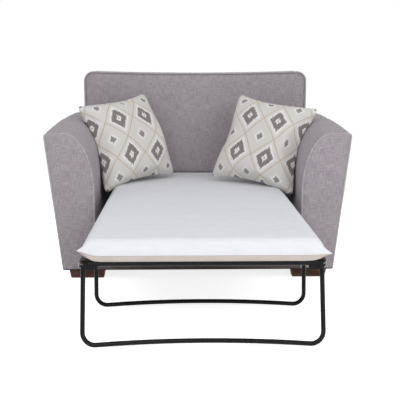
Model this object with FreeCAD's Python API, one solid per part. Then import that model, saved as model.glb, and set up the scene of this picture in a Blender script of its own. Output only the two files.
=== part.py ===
import FreeCAD, Part
import math
import os

Vector = FreeCAD.Vector

# Convertible chair bed, shown opened as a single bed, in millimetres.
# Places are measured with X across, Y rearward from the arms' front face and Z up from the floor.
# The last function shifts everything along Y, so that the origin is under the middle of the box.

# Arms
arm_gap = 944.0
arm_foot_width = 143.0
arm_flare = 72.0
arm_front_height = 665.0
arm_rise = 50.0
arm_roll_width = 128.0
arm_roll_height = 265.0
arm_pad_thickness = 18.0
arm_panel_thickness = 8.0
arm_facing_thickness = 16.0
arm_board_thickness = 10.0
arm_section_count = 5

# Timber and bolts inside the arms
arm_post_clearance = 7.0
arm_rail_clearance = 7.0
arm_top_rail_height = 40.0
arm_top_rail_width = 60.0
arm_bolt_length = 120.0
arm_bolt_inset = 15.0
arm_bolt_low_z = 120.0
arm_bolt_below_rail = 80.0

# Base and feet
base_height = 46.0
foot_width = 163.0
foot_depth = 70.0
foot_taper = 7.0
foot_inset = 15.0
foot_reach_in = 44.0
dust_cover_thickness = 1.5
glide_radius = 15.0
glide_thickness = 3.0
foot_bolt_bottom = 18.0
foot_bolt_top = 86.0
rail_thickness = 30.0
rail_height = 114.0
front_rail_height = 150.0
front_rail_set_back = 10.0
rear_rail_set_in = 26.0
cover_thickness = 8.0
corner_block_leg = 40.0
corner_block_height = 90.0

# Back
back_face_y = 805.0
back_depth = 175.0
back_side_step = 20.0
back_height = 930.0
back_pad_thickness = 60.0
back_crown = 12.0
back_corner_radius = 37.0
back_dip = 9.0
back_border_thickness = 12.0
back_panel_thickness = 14.0
back_post_inset = 8.0
back_post_width = 70.0
back_rail_height = 40.0
back_low_rail_lift = 8.0
back_frame_drop = 50.0
webbing_width = 60.0
webbing_thickness = 2.0
webbing_count = 5
webbing_pitch = 165.0
pad_headroom = 6.0

# Folding deck
deck_height = 300.0
deck_tube_radius = 9.5
main_length = 840.0
middle_length = 200.0
foot_length = 689.5
first_hinge_y = -20.0
hinge_bar_offset = 19.0
deck_corner_radius = 40.0
cross_bar_radius = 8.0
main_cross_bars = 2
sling_thickness = 2.0
ear_thickness = 4.0
ear_radius = 8.0
ear_inset = 20.0
hinge_pin_radius = 4.0
hinge_pin_overhang = 3.0

# Swing links that carry the main section
link_length = 110.0
link_swing = 75.0
link_thickness = 4.0
link_radius = 13.0
link_tie_radius = 7.0
link_tie_up = 30.0
front_pivot_y = 150.0
rear_pivot_y = 620.0
pivot_radius = 5.0
pivot_head_radius = 8.0
pivot_head_thickness = 2.2
deck_to_link = 4.5
link_to_bracket = 3.5
bracket_depth = 29.0
bracket_thickness = 4.0
bracket_width = 60.0
bracket_foot_width = 20.0
bracket_bottom = 62.0
bracket_radius = 16.0
bracket_bolt_length = 44.0
bracket_bolt_low = 18.0
bracket_bolt_below_rail = 20.0
bolt_radius = 4.0
bolt_head_radius = 7.5
bolt_head_thickness = 4.0

# Folding legs
leg_tube_radius = 8.5
leg_bend_radius = 44.0
leg_bar_bow = 13.0
leg_pivot_drop = 22.0
leg_top_end = 8.0
front_leg_set_back = 86.5
front_leg_lean = 76.0
rear_leg_from_hinge = 175.0
rear_leg_lean = 29.0
leg_bolt_radius = 3.0
leg_bolt_head_radius = 6.0
leg_bolt_head_thickness = 3.0
leg_cheek_thickness = 3.0
leg_cheek_radius = 10.0
weld_bite = 0.3

# Mattress
mattress_side_inset = 1.0
mattress_thickness = 70.0
mattress_crown = 4.0
mattress_edge_radius = 24.0
mattress_overhang = 5.5
mattress_head_inset = 4.0

# Scatter cushions
cushion_size = 435.0
cushion_thickness = 130.0
cushion_side_draw = 22.0
cushion_rings = 6
cushion_smallest_ring = 0.12
cushion_ring_spread = 1.3
cushion_edge_power = 2.4
cushion_swell_power = 0.62
left_cushion_tilt = (44.7, 23.7, 5.0)
right_cushion_tilt = (-34.3, 26.4, -6.5)
left_corner_place = (-101.7, 94.6, -5.2)
right_corner_place = (-107.1, 200.7, -7.0)

# Fits and clearances
running_fit = 0.05
open_pivot_fit = 0.4
side_play = 0.4
seat_play = 0.3
fold_play = 0.5

# Heights and places that follow from the sizes above
arm_inner_x = arm_gap / 2
arm_outer_x = arm_inner_x + arm_foot_width
arm_corner_x = arm_outer_x + arm_flare
roll_centre_x = arm_inner_x + arm_roll_width
roll_centre_z = arm_front_height - arm_roll_height
arm_end_y = back_face_y
back_rear_y = back_face_y + back_depth
pad_rear_y = back_face_y + back_pad_thickness
panel_front_y = back_rear_y - back_panel_thickness
frame_front_y = pad_rear_y + webbing_thickness
bracket_x = arm_inner_x - bracket_depth
link_x = bracket_x - link_to_bracket - link_thickness
deck_width = 2 * (link_x - deck_to_link)
tube_x = deck_width / 2 - deck_tube_radius
sling_bottom = deck_height + deck_tube_radius + seat_play
mattress_bottom = sling_bottom + sling_thickness + seat_play
mattress_top = mattress_bottom + mattress_thickness
pad_bottom = mattress_top + mattress_crown + pad_headroom
second_hinge_y = first_hinge_y - middle_length
deck_front_y = second_hinge_y - foot_length
deck_head_y = first_hinge_y + main_length
mattress_width = deck_width - 2 * mattress_side_inset
mattress_front_y = deck_front_y - mattress_overhang
mattress_head_y = deck_head_y - mattress_head_inset
base_pivot_z = deck_height - link_length
leg_pivot_z = deck_height - leg_pivot_drop
front_leg_y = deck_front_y + front_leg_set_back
front_leg_floor_y = front_leg_y - front_leg_lean
rear_leg_y = second_hinge_y - rear_leg_from_hinge
rear_leg_floor_y = rear_leg_y - rear_leg_lean
rail_top = base_height + rail_height
foot_top = base_height - dust_cover_thickness
side_rail_x = arm_inner_x + arm_pad_thickness
post_inner_x = side_rail_x + rail_thickness
post_outer_x = arm_outer_x - arm_panel_thickness - arm_post_clearance
top_rail_x = post_outer_x - arm_top_rail_width
arm_bolt_x = post_inner_x + arm_bolt_inset
arm_bolt_y = arm_end_y - arm_board_thickness - rail_thickness
foot_bolt_x = side_rail_x + rail_thickness / 2
back_foot_y = back_rear_y - foot_inset - foot_depth
foot_rows = (foot_inset, back_foot_y)
back_width = 2 * (arm_outer_x - back_side_step)
back_frame_height = back_height - back_frame_drop
back_post_x = arm_inner_x + back_post_inset
back_low_rail_z = pad_bottom + back_low_rail_lift
front_rail_rear_y = front_rail_set_back + rail_thickness + cover_thickness
rear_rail_y = panel_front_y - rail_thickness - rear_rail_set_in
pivot_rows = (front_pivot_y, rear_pivot_y)
ear_outer_x = tube_x - deck_corner_radius - ear_inset
ear_inner_x = ear_outer_x - ear_thickness - side_play
shift_y = -(mattress_front_y + back_rear_y) / 2

# The timber stays below the pad's inner curve
inner_roll_width = arm_roll_width - arm_pad_thickness
inner_roll_height = arm_roll_height - arm_pad_thickness
rail_share = (roll_centre_x - top_rail_x) / inner_roll_width
pad_under_z = roll_centre_z + inner_roll_height * math.sqrt(1 - rail_share ** 2)
top_rail_top = pad_under_z - arm_rail_clearance
arm_post_height = top_rail_top - arm_top_rail_height
arm_bolt_heights = (arm_bolt_low_z, arm_post_height - arm_bolt_below_rail)


def box(x0, x1, y0, y1, z0, z1):
    return Part.makeBox(x1 - x0, y1 - y0, z1 - z0, Vector(x0, y0, z0))


def rod(radius, start, end):
    along = Vector(*end) - Vector(*start)
    return Part.makeCylinder(radius, along.Length, Vector(*start), along)


def face_of(edges):
    return Part.Face(Part.Wire(edges))


def line(a, b):
    return Part.makeLine(Vector(*a), Vector(*b))


def arc(a, b, c):
    return Part.Arc(Vector(*a), Vector(*b), Vector(*c)).toShape()


def polygon_face(points):
    corners = [Vector(*p) for p in points]
    return Part.Face(Part.makePolygon(corners + corners[:1]))


def fuse(shapes):
    whole = shapes[0].multiFuse(shapes[1:]).removeSplitter()
    return whole.Solids[0] if len(whole.Solids) == 1 else whole


def group(shapes):
    return Part.makeCompound(shapes)


def mirrored(shape):
    return shape.mirror(Vector(0, 0, 0), Vector(1, 0, 0))


def both_sides(shape):
    return group([mirrored(shape), shape])


# Arm sections, drawn for the right arm in the plane at y
def rise_at(y):
    start = arm_facing_thickness
    run = (y - start) / (arm_end_y - start)
    return arm_rise * math.sin(math.pi / 2 * max(0.0, run))


def roll_edge(y, rise, inset):
    centre = Vector(roll_centre_x, y, roll_centre_z + rise)
    top = centre + Vector(0, 0, arm_roll_height - inset)
    side = centre - Vector(arm_roll_width - inset, 0, 0)
    ellipse = Part.Ellipse(top, side, centre)
    return Part.ArcOfEllipse(ellipse, 0, math.pi / 2).toShape()


def outer_x_at(z, rise):
    full = arm_front_height + rise - base_height
    return arm_outer_x + arm_flare * (z - base_height) / full


def arm_profile(y, rise):
    top = arm_front_height + rise
    return Part.Wire([
        line((arm_inner_x, y, base_height), (arm_inner_x, y, roll_centre_z + rise)),
        roll_edge(y, rise, 0),
        line((roll_centre_x, y, top), (arm_corner_x, y, top)),
        line((arm_corner_x, y, top), (arm_outer_x, y, base_height)),
        line((arm_outer_x, y, base_height), (arm_inner_x, y, base_height)),
    ])


def pad_profile(y):
    rise = rise_at(y)
    top = arm_front_height + rise
    under = top - arm_pad_thickness
    inside = arm_inner_x + arm_pad_thickness
    middle = roll_centre_z + rise
    edge_x = outer_x_at(under, rise)
    return Part.Wire([
        line((arm_inner_x, y, base_height), (arm_inner_x, y, middle)),
        roll_edge(y, rise, 0),
        line((roll_centre_x, y, top), (arm_corner_x, y, top)),
        line((arm_corner_x, y, top), (edge_x, y, under)),
        line((edge_x, y, under), (roll_centre_x, y, under)),
        roll_edge(y, rise, arm_pad_thickness),
        line((inside, y, middle), (inside, y, base_height)),
        line((inside, y, base_height), (arm_inner_x, y, base_height)),
    ])


def panel_profile(y):
    rise = rise_at(y)
    under = arm_front_height + rise - arm_pad_thickness
    edge_x = outer_x_at(under, rise)
    corners = [
        Vector(arm_outer_x, y, base_height),
        Vector(edge_x, y, under),
        Vector(edge_x - arm_panel_thickness, y, under),
        Vector(arm_outer_x - arm_panel_thickness, y, base_height),
    ]
    return Part.makePolygon(corners + corners[:1])


def arm_stations():
    first = arm_facing_thickness
    step = (arm_end_y - arm_board_thickness - first) / (arm_section_count - 1)
    return [first + step * i for i in range(arm_section_count)]


def arm_inner_pad():
    pad = Part.makeLoft([pad_profile(y) for y in arm_stations()], True, False)
    return pad.cut(group(bracket_bolt_shafts()))


def arm_outer_panel():
    return Part.makeLoft([panel_profile(y) for y in arm_stations()], True, False)


def arm_front_facing():
    return Part.Face(arm_profile(0, 0)).extrude(Vector(0, arm_facing_thickness, 0))


def arm_rear_board():
    start = arm_end_y - arm_board_thickness
    board = Part.Face(arm_profile(start, arm_rise)).extrude(Vector(0, arm_board_thickness, 0))
    return board.cut(group(arm_bolt_shafts()))


# Timber inside an arm: a bottom rail, two posts and a top rail
def arm_frame():
    front = arm_facing_thickness
    rear = arm_end_y - arm_board_thickness
    bottom_rail = box(side_rail_x, post_inner_x, front, rear, base_height, rail_top)
    front_post = box(post_inner_x, post_outer_x, front, front + rail_thickness,
                     base_height, arm_post_height)
    rear_post = box(post_inner_x, post_outer_x, rear - rail_thickness, rear,
                    base_height, arm_post_height)
    top_rail = box(top_rail_x, post_outer_x, front, rear, arm_post_height, top_rail_top)
    whole = fuse([bottom_rail, front_post, rear_post, top_rail])
    holes = bracket_bolt_shafts() + arm_bolt_shafts() + foot_bolt_shafts()
    return whole.cut(group(holes))


# Bolts that hold the arms to the back, along Y
def arm_bolt_shafts():
    end = arm_bolt_y + arm_bolt_length
    return [rod(bolt_radius, (arm_bolt_x, arm_bolt_y, z), (arm_bolt_x, end, z))
            for z in arm_bolt_heights]


def arm_bolts():
    bolts = []
    for shaft, z in zip(arm_bolt_shafts(), arm_bolt_heights):
        head = rod(bolt_head_radius, (arm_bolt_x, arm_bolt_y - bolt_head_thickness, z),
                   (arm_bolt_x, arm_bolt_y, z))
        bolts.append(fuse([shaft, head]))
    return both_sides(group(bolts))


# Base rails, their cover and the corner blocks
def front_rail():
    y0 = front_rail_set_back
    return box(-arm_inner_x, arm_inner_x, y0, y0 + rail_thickness,
               base_height, base_height + front_rail_height)


def front_rail_cover():
    y0 = front_rail_set_back - cover_thickness
    top = base_height + front_rail_height + cover_thickness
    skin = box(-arm_inner_x, arm_inner_x, y0, front_rail_rear_y, base_height, top)
    return skin.cut(front_rail())


def rear_rail():
    return box(-back_post_x, back_post_x, rear_rail_y, rear_rail_y + rail_thickness,
               base_height, rail_top)


def corner_block(x, y, dx, dy):
    top = base_height + corner_block_height
    triangle = polygon_face([(x, y, base_height), (x + dx, y, base_height),
                             (x, y + dy, base_height)])
    return triangle.extrude(Vector(0, 0, top - base_height))


def corner_blocks():
    leg = corner_block_leg
    front = corner_block(arm_inner_x, front_rail_rear_y, -leg, leg)
    rear = corner_block(back_post_x, rear_rail_y, -leg, -leg)
    return both_sides(group([front, rear]))


# Feet with their hanger bolts and floor glides
def foot(y):
    x0 = arm_inner_x - foot_reach_in
    top = [(x0, y), (x0 + foot_width, y), (x0 + foot_width, y + foot_depth), (x0, y + foot_depth)]
    t = foot_taper
    steps = [(t, t), (-t, t), (-t, -t), (t, -t)]
    upper = [Vector(x, yy, foot_top) for x, yy in top]
    lower = [Vector(x + dx, yy + dy, glide_thickness) for (x, yy), (dx, dy) in zip(top, steps)]
    wires = [Part.makePolygon(ring + ring[:1]) for ring in (lower, upper)]
    return Part.makeLoft(wires, True, True).cut(group(foot_bolt_shafts()))


def foot_bolt_shafts():
    return [
        rod(bolt_radius, (foot_bolt_x, y + foot_depth / 2, foot_bolt_bottom),
            (foot_bolt_x, y + foot_depth / 2, foot_bolt_top))
        for y in foot_rows
    ]


# Dust cloth stapled under the arms, the back and the stowage well
def dust_cover():
    half_back = back_width / 2
    z = foot_top
    outline = polygon_face([
        (-arm_outer_x, 0, z), (arm_outer_x, 0, z), (arm_outer_x, arm_end_y, z),
        (half_back, arm_end_y, z), (half_back, back_rear_y, z),
        (-half_back, back_rear_y, z), (-half_back, arm_end_y, z), (-arm_outer_x, arm_end_y, z),
    ])
    shafts = foot_bolt_shafts()
    cloth = outline.extrude(Vector(0, 0, dust_cover_thickness))
    return cloth.cut(group(shafts + [mirrored(s) for s in shafts]))


def foot_glides():
    middle_x = arm_inner_x - foot_reach_in + foot_width / 2
    glides = [
        rod(glide_radius, (middle_x, y + foot_depth / 2, 0),
            (middle_x, y + foot_depth / 2, glide_thickness))
        for y in foot_rows
    ]
    return both_sides(group(glides))


# Back: pad, border, outside panel, timber frame and webbing
def back_outline(y, inset):
    half = back_width / 2 - inset
    top = back_height - inset
    r = back_corner_radius - inset
    k = r * (1 - math.sqrt(0.5))
    z0 = base_height
    return face_of([
        line((-half, y, z0), (-half, y, top - r)),
        arc((-half, y, top - r), (-half + k, y, top - k), (-half + r, y, top)),
        arc((-half + r, y, top), (0, y, top - back_dip), (half - r, y, top)),
        arc((half - r, y, top), (half - k, y, top - k), (half, y, top - r)),
        line((half, y, top - r), (half, y, z0)),
        line((half, y, z0), (-half, y, z0)),
    ])


def back_pad():
    front = back_face_y - back_crown
    slab = back_outline(front, 0).extrude(Vector(0, pad_rear_y - front, 0))
    half = back_width / 2
    z = base_height
    plan = face_of([
        line((-half, back_face_y, z), (-arm_inner_x, back_face_y, z)),
        arc((-arm_inner_x, back_face_y, z), (0, front, z), (arm_inner_x, back_face_y, z)),
        line((arm_inner_x, back_face_y, z), (half, back_face_y, z)),
        line((half, back_face_y, z), (half, pad_rear_y, z)),
        line((half, pad_rear_y, z), (-half, pad_rear_y, z)),
        line((-half, pad_rear_y, z), (-half, back_face_y, z)),
    ])
    crowned = slab.common(plan.extrude(Vector(0, 0, back_height)))
    well = box(-arm_inner_x, arm_inner_x, front - 1, pad_rear_y + 1, base_height - 1, pad_bottom)
    holes = arm_bolt_shafts() + [mirrored(s) for s in arm_bolt_shafts()]
    return crowned.cut(group([well] + holes)).Solids[0]


def back_border():
    depth = Vector(0, panel_front_y - pad_rear_y, 0)
    outer = back_outline(pad_rear_y, 0).extrude(depth)
    inner = back_outline(pad_rear_y, back_border_thickness).extrude(depth)
    return outer.cut(inner).Solids[0]


def outside_back_panel():
    return back_outline(panel_front_y, 0).extrude(Vector(0, back_panel_thickness, 0))


def back_frame():
    inner = back_post_x
    outer = inner + back_post_width
    y0 = frame_front_y
    y1 = panel_front_y
    posts = [box(inner, outer, y0, y1, base_height, back_frame_height),
             box(-outer, -inner, y0, y1, base_height, back_frame_height)]
    top = box(-inner, inner, y0, y1, back_frame_height - back_rail_height, back_frame_height)
    low = box(-inner, inner, y0, y1, back_low_rail_z, back_low_rail_z + back_rail_height)
    shafts = arm_bolt_shafts() + foot_bolt_shafts()
    holes = shafts + [mirrored(s) for s in shafts]
    return fuse(posts + [top, low]).cut(group(holes))


def back_webbing():
    straps = []
    low = back_low_rail_z + back_rail_height / 2
    high = back_frame_height - back_rail_height / 2
    for i in range(webbing_count):
        x = (i - (webbing_count - 1) / 2) * webbing_pitch
        straps.append(box(x - webbing_width / 2, x + webbing_width / 2,
                          pad_rear_y, frame_front_y, low, high))
    return group(straps)


# Base brackets: hat sections on the arms' inner faces, with the lower pivots
def bracket_bolt_places():
    reach = bracket_width / 2 + bracket_foot_width / 2
    heights = (bracket_bottom + bracket_bolt_low, rail_top - bracket_bolt_below_rail)
    return [(y + side * reach, z) for y in pivot_rows for side in (-1, 1) for z in heights]


def bracket_bolt_shafts():
    start = arm_inner_x - bracket_thickness
    return [rod(bolt_radius, (start, y, z), (start + bracket_bolt_length, y, z))
            for y, z in bracket_bolt_places()]


def bracket_bolts():
    start = arm_inner_x - bracket_thickness
    bolts = []
    for shaft, (y, z) in zip(bracket_bolt_shafts(), bracket_bolt_places()):
        head = rod(bolt_head_radius, (start - bolt_head_thickness, y, z), (start, y, z))
        bolts.append(fuse([shaft, head]))
    return both_sides(group(bolts))


def base_bracket(y):
    half = bracket_width / 2
    t = bracket_thickness
    wide = half + bracket_foot_width
    x0 = bracket_x
    x1 = arm_inner_x
    z0 = bracket_bottom
    hat = polygon_face([
        (x0, y - half, z0), (x0, y + half, z0),
        (x1 - t, y + half, z0), (x1 - t, y + wide, z0),
        (x1, y + wide, z0), (x1, y + half - t, z0),
        (x0 + t, y + half - t, z0), (x0 + t, y - half + t, z0),
        (x1, y - half + t, z0), (x1, y - wide, z0),
        (x1 - t, y - wide, z0), (x1 - t, y - half, z0),
    ])
    top = base_pivot_z + bracket_radius
    body = hat.extrude(Vector(0, 0, top - z0))
    pivot_hole = rod(pivot_radius, (x0 - 1, y, base_pivot_z), (x0 + t + 1, y, base_pivot_z))
    return body.cut(group([pivot_hole] + bracket_bolt_shafts()))


def base_pivot_pin(y):
    z = base_pivot_z
    inside = link_x - side_play
    spacer_start = link_x + link_thickness + side_play
    tail = bracket_x + bracket_thickness
    parts = [
        rod(pivot_radius, (inside, y, z), (tail, y, z)),
        rod(pivot_head_radius, (inside - pivot_head_thickness, y, z), (inside, y, z)),
        rod(pivot_head_radius, (spacer_start, y, z), (bracket_x, y, z)),
        rod(pivot_head_radius, (tail, y, z), (tail + pivot_head_thickness, y, z)),
    ]
    return fuse(parts)


# Swing links: a flat bar on each side, joined by a tie tube
def link_bar(y, base_fit):
    x0 = link_x
    x1 = link_x + link_thickness
    low = (y, base_pivot_z)
    high = (y, deck_height)
    ends = [rod(link_radius, (x0, p, z), (x1, p, z)) for p, z in (low, high)]
    web = box(x0, x1, y - link_radius, y + link_radius, base_pivot_z, deck_height)
    holes = [
        rod(pivot_radius + base_fit, (x0 - 1, y, base_pivot_z), (x1 + 1, y, base_pivot_z)),
        rod(pivot_radius + running_fit, (x0 - 1, y, deck_height), (x1 + 1, y, deck_height)),
    ]
    return fuse(ends + [web]).cut(group(holes))


def swing_links(y, base_fit):
    bar = link_bar(y, base_fit)
    z = base_pivot_z + link_tie_up
    tie = rod(link_tie_radius, (-link_x, y, z), (link_x, y, z))
    return fuse([bar, mirrored(bar), tie])


def deck_pivot_pin(y):
    z = deck_height
    far = link_x + link_thickness + side_play
    parts = [
        rod(pivot_radius, (tube_x, y, z), (far, y, z)),
        rod(pivot_head_radius, (deck_width / 2 + side_play, y, z), (link_x - side_play, y, z)),
        rod(pivot_head_radius, (far, y, z), (far + pivot_head_thickness, y, z)),
    ]
    return fuse(parts)


# Deck sections: rounded loops of steel tube with hinge ears
def corner_piece(x, y, sx, sy):
    r = deck_corner_radius
    centre = Vector(x - sx * r, y - sy * r, deck_height)
    start = centre + Vector(sx * r, 0, 0)
    ring = Part.Wire(Part.makeCircle(deck_tube_radius, start, Vector(0, 1, 0)))
    return Part.Face(ring).revolve(centre, Vector(0, 0, 1), 90 * sx * sy)


def tube_loop(y0, y1):
    r = deck_corner_radius
    z = deck_height
    parts = []
    for sx in (-1, 1):
        parts.append(rod(deck_tube_radius, (sx * tube_x, y0 + r, z), (sx * tube_x, y1 - r, z)))
        parts.append(corner_piece(sx * tube_x, y0, sx, -1))
        parts.append(corner_piece(sx * tube_x, y1, sx, 1))
    for y in (y0, y1):
        parts.append(rod(deck_tube_radius, (r - tube_x, y, z), (tube_x - r, y, z)))
    return parts


def cross_bars(y0, y1, count):
    step = (y1 - y0) / (count + 1)
    return [rod(cross_bar_radius, (-tube_x, y0 + step * i, deck_height),
                (tube_x, y0 + step * i, deck_height)) for i in range(1, count + 1)]


def ear(x0, hinge_y, bar_y, fit):
    x1 = x0 + ear_thickness
    z = deck_height
    nose = rod(ear_radius, (x0, hinge_y, z), (x1, hinge_y, z))
    low_y = min(hinge_y, bar_y)
    high_y = max(hinge_y, bar_y)
    strap = box(x0, x1, low_y, high_y, z - ear_radius, z + ear_radius)
    hole = rod(hinge_pin_radius + fit, (x0 - 1, hinge_y, z), (x1 + 1, hinge_y, z))
    return fuse([nose, strap]).cut(hole)


def ear_pair(x0, hinge_y, bar_y, fit):
    right = ear(x0, hinge_y, bar_y, fit)
    return [right, mirrored(right)]


def main_deck_frame():
    y0 = first_hinge_y + hinge_bar_offset
    y1 = deck_head_y - deck_tube_radius
    parts = tube_loop(y0, y1) + cross_bars(y0, y1, main_cross_bars)
    parts += ear_pair(ear_outer_x, first_hinge_y, y0, 0)
    shafts = [rod(pivot_radius, (tube_x, y, deck_height), (deck_width, y, deck_height))
              for y in pivot_rows]
    return fuse(parts).cut(group(shafts + [mirrored(s) for s in shafts]))


def middle_deck_frame():
    y0 = second_hinge_y + hinge_bar_offset
    y1 = first_hinge_y - hinge_bar_offset
    parts = tube_loop(y0, y1)
    parts += ear_pair(ear_inner_x, first_hinge_y, y1, running_fit)
    parts += ear_pair(ear_outer_x, second_hinge_y, y0, 0)
    return fuse(parts)


def leg_cheeks(y):
    cheeks = []
    for side in (-1, 1):
        near = tube_x + side * (deck_tube_radius - weld_bite)
        x0 = min(near, near + side * leg_cheek_thickness)
        x1 = x0 + leg_cheek_thickness
        nose = rod(leg_cheek_radius, (x0, y, leg_pivot_z), (x1, y, leg_pivot_z))
        web = box(x0, x1, y - leg_cheek_radius, y + leg_cheek_radius, leg_pivot_z, deck_height)
        cheeks.append(fuse([nose, web]))
    hole = rod(leg_bolt_radius, (0, y, leg_pivot_z), (deck_width, y, leg_pivot_z))
    plates = [c.cut(hole) for c in cheeks]
    return plates + [mirrored(p) for p in plates]


def foot_deck_frame():
    y0 = deck_front_y + deck_tube_radius
    y1 = second_hinge_y - hinge_bar_offset
    parts = tube_loop(y0, y1) + cross_bars(y0, y1, 1)
    parts += ear_pair(ear_inner_x, second_hinge_y, y1, running_fit)
    parts += leg_cheeks(front_leg_y) + leg_cheeks(rear_leg_y)
    return fuse(parts)


def hinge_pins(hinge_y):
    x0 = ear_inner_x - hinge_pin_overhang
    x1 = ear_outer_x + ear_thickness + hinge_pin_overhang
    return both_sides(rod(hinge_pin_radius, (x0, hinge_y, deck_height), (x1, hinge_y, deck_height)))


def sling(y0, y1):
    return box(-tube_x, tube_x, y0, y1, sling_bottom, sling_bottom + sling_thickness)


# Folding legs: one bent tube each, leaning from its pivot to the floor
def leg_path(length):
    r = leg_bend_radius
    bend_x = tube_x - r
    bend_w = length - r
    far = (bend_x ** 2 + leg_bar_bow ** 2) / (2 * leg_bar_bow)
    sink = far - leg_bar_bow
    lean = math.atan2(bend_x, sink)
    low_x = bend_x - r * math.sin(lean)
    low_w = bend_w + r * math.cos(lean)
    half = (math.pi / 2 - lean) / 2 + lean
    mid_x = bend_x + r * math.sin(math.pi / 2 - half)
    mid_w = bend_w + r * math.cos(math.pi / 2 - half)
    top = -leg_top_end
    bar_w = length - leg_bar_bow
    return [
        line((-tube_x, 0, -top), (-tube_x, 0, -bend_w)),
        arc((-tube_x, 0, -bend_w), (-mid_x, 0, -mid_w), (-low_x, 0, -low_w)),
        arc((-low_x, 0, -low_w), (0, 0, -bar_w), (low_x, 0, -low_w)),
        arc((low_x, 0, -low_w), (mid_x, 0, -mid_w), (tube_x, 0, -bend_w)),
        line((tube_x, 0, -bend_w), (tube_x, 0, -top)),
    ]


def folding_leg(y, floor_y):
    drop = leg_pivot_z - leg_tube_radius
    length = math.hypot(drop, floor_y - y)
    lean = math.degrees(math.atan2(y - floor_y, drop))
    path = Part.Wire(leg_path(length))
    start = Vector(-tube_x, 0, leg_top_end)
    ring = Part.Wire(Part.makeCircle(leg_tube_radius, start, Vector(0, 0, 1)))
    tube = path.makePipeShell([ring], True, False)
    hole = rod(leg_bolt_radius + running_fit, (-deck_width, 0, 0), (deck_width, 0, 0))
    leg = tube.cut(hole)
    leg.rotate(Vector(0, 0, 0), Vector(1, 0, 0), -lean)
    leg.translate(Vector(0, y, leg_pivot_z))
    return leg


def leg_bolts():
    reach = deck_tube_radius - weld_bite + leg_cheek_thickness
    bolts = []
    for y in (front_leg_y, rear_leg_y):
        x0 = tube_x - reach
        x1 = tube_x + reach
        shaft = rod(leg_bolt_radius, (x0, y, leg_pivot_z), (x1, y, leg_pivot_z))
        heads = [
            rod(leg_bolt_head_radius, (x1, y, leg_pivot_z),
                (x1 + leg_bolt_head_thickness, y, leg_pivot_z)),
            rod(leg_bolt_head_radius, (x0 - leg_bolt_head_thickness, y, leg_pivot_z),
                (x0, y, leg_pivot_z)),
        ]
        bolts.append(fuse([shaft] + heads))
    return both_sides(group(bolts))


# Mattress: one crowned form, split by a 45 degree wedge over each hinge
def mattress_form():
    half = mattress_width / 2
    r = mattress_edge_radius
    k = r * (1 - math.sqrt(0.5))
    z0 = mattress_bottom
    top = mattress_top
    y0 = mattress_front_y
    y1 = mattress_head_y
    section = face_of([
        line((-half, y0, z0), (-half, y0, top - r)),
        arc((-half, y0, top - r), (-half + k, y0, top - k), (-half + r, y0, top)),
        arc((-half + r, y0, top), (0, y0, top + mattress_crown), (half - r, y0, top)),
        arc((half - r, y0, top), (half - k, y0, top - k), (half, y0, top - r)),
        line((half, y0, top - r), (half, y0, z0)),
        line((half, y0, z0), (-half, y0, z0)),
    ])
    long_form = section.extrude(Vector(0, y1 - y0, 0))
    high = top + mattress_crown
    side = face_of([
        line((-half, y0, z0), (-half, y0, high - r)),
        arc((-half, y0, high - r), (-half, y0 + k, high - k), (-half, y0 + r, high)),
        line((-half, y0 + r, high), (-half, y1, high)),
        line((-half, y1, high), (-half, y1, z0)),
        line((-half, y1, z0), (-half, y0, z0)),
    ])
    return long_form.common(side.extrude(Vector(mattress_width, 0, 0)))


def fold_wedge(hinge_y, play):
    half = mattress_width
    high = 2 * mattress_thickness
    wide = high + play * math.sqrt(2)
    low = deck_height - play * math.sqrt(2)
    top = low + wide
    return polygon_face([
        (-half, hinge_y, low), (-half, hinge_y - wide, top), (-half, hinge_y + wide, top),
    ]).extrude(Vector(2 * half, 0, 0))


def slab_between(y0, y1):
    far = 2 * mattress_width
    return box(-far, far, y0, y1, 0, far)


def mattress_section(y0, y1):
    cuts = [fold_wedge(h, fold_play / 2) for h in (first_hinge_y, second_hinge_y)]
    piece = mattress_form().common(slab_between(y0, y1)).cut(group(cuts))
    return piece.Solids[0]


def mattress_fold(hinge_y):
    return mattress_form().common(fold_wedge(hinge_y, -fold_play / 2)).Solids[0]


# Scatter cushions: two crowned halves that pull in between their corners
def cushion_ring(share, height):
    half = cushion_size / 2 * share
    side = half - cushion_side_draw * share
    corners = [(-half, -half), (half, -half), (half, half), (-half, half)]
    middles = [(0, -side), (side, 0), (0, side), (-side, 0)]
    edges = []
    for i in range(4):
        a = corners[i]
        b = corners[(i + 1) % 4]
        m = middles[i]
        edges.append(arc((a[0], height, a[1]), (m[0], height, m[1]), (b[0], height, b[1])))
    return Part.Wire(edges)


def cushion_half(side):
    rings = []
    for i in range(cushion_rings):
        step = (i / (cushion_rings - 1)) ** cushion_ring_spread
        share = 1 - (1 - cushion_smallest_ring) * step
        swell = (1 - share ** cushion_edge_power) ** cushion_swell_power
        rings.append(cushion_ring(share, side * swell * cushion_thickness / 2))
    return Part.makeLoft(rings, True, False)


def tilted(shape, tilt):
    yaw, lean, roll = tilt
    origin = Vector(0, 0, 0)
    shape.rotate(origin, Vector(0, -1, 0), roll)
    shape.rotate(origin, Vector(1, 0, 0), -lean)
    shape.rotate(origin, Vector(0, 0, 1), yaw)
    return shape


def corner_reach(tilt):
    half = cushion_size / 2
    corners = [tilted(Part.Vertex(half, 0, side * half), tilt).Point for side in (-1, 1)]
    return [max(abs(corner[i]) for corner in corners) for i in range(3)]


# A place gives the outermost corners' distances from the arm, the back and the mattress top
def scatter_cushion(tilt, place, side):
    reach = corner_reach(tilt)
    x = side * (arm_inner_x - place[0] - reach[0])
    y = back_face_y - place[1] - reach[1]
    z = mattress_top + place[2] + reach[2]
    form = tilted(fuse([cushion_half(-1), cushion_half(1)]), tilt)
    form.translate(Vector(x, y, z))
    return form


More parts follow.
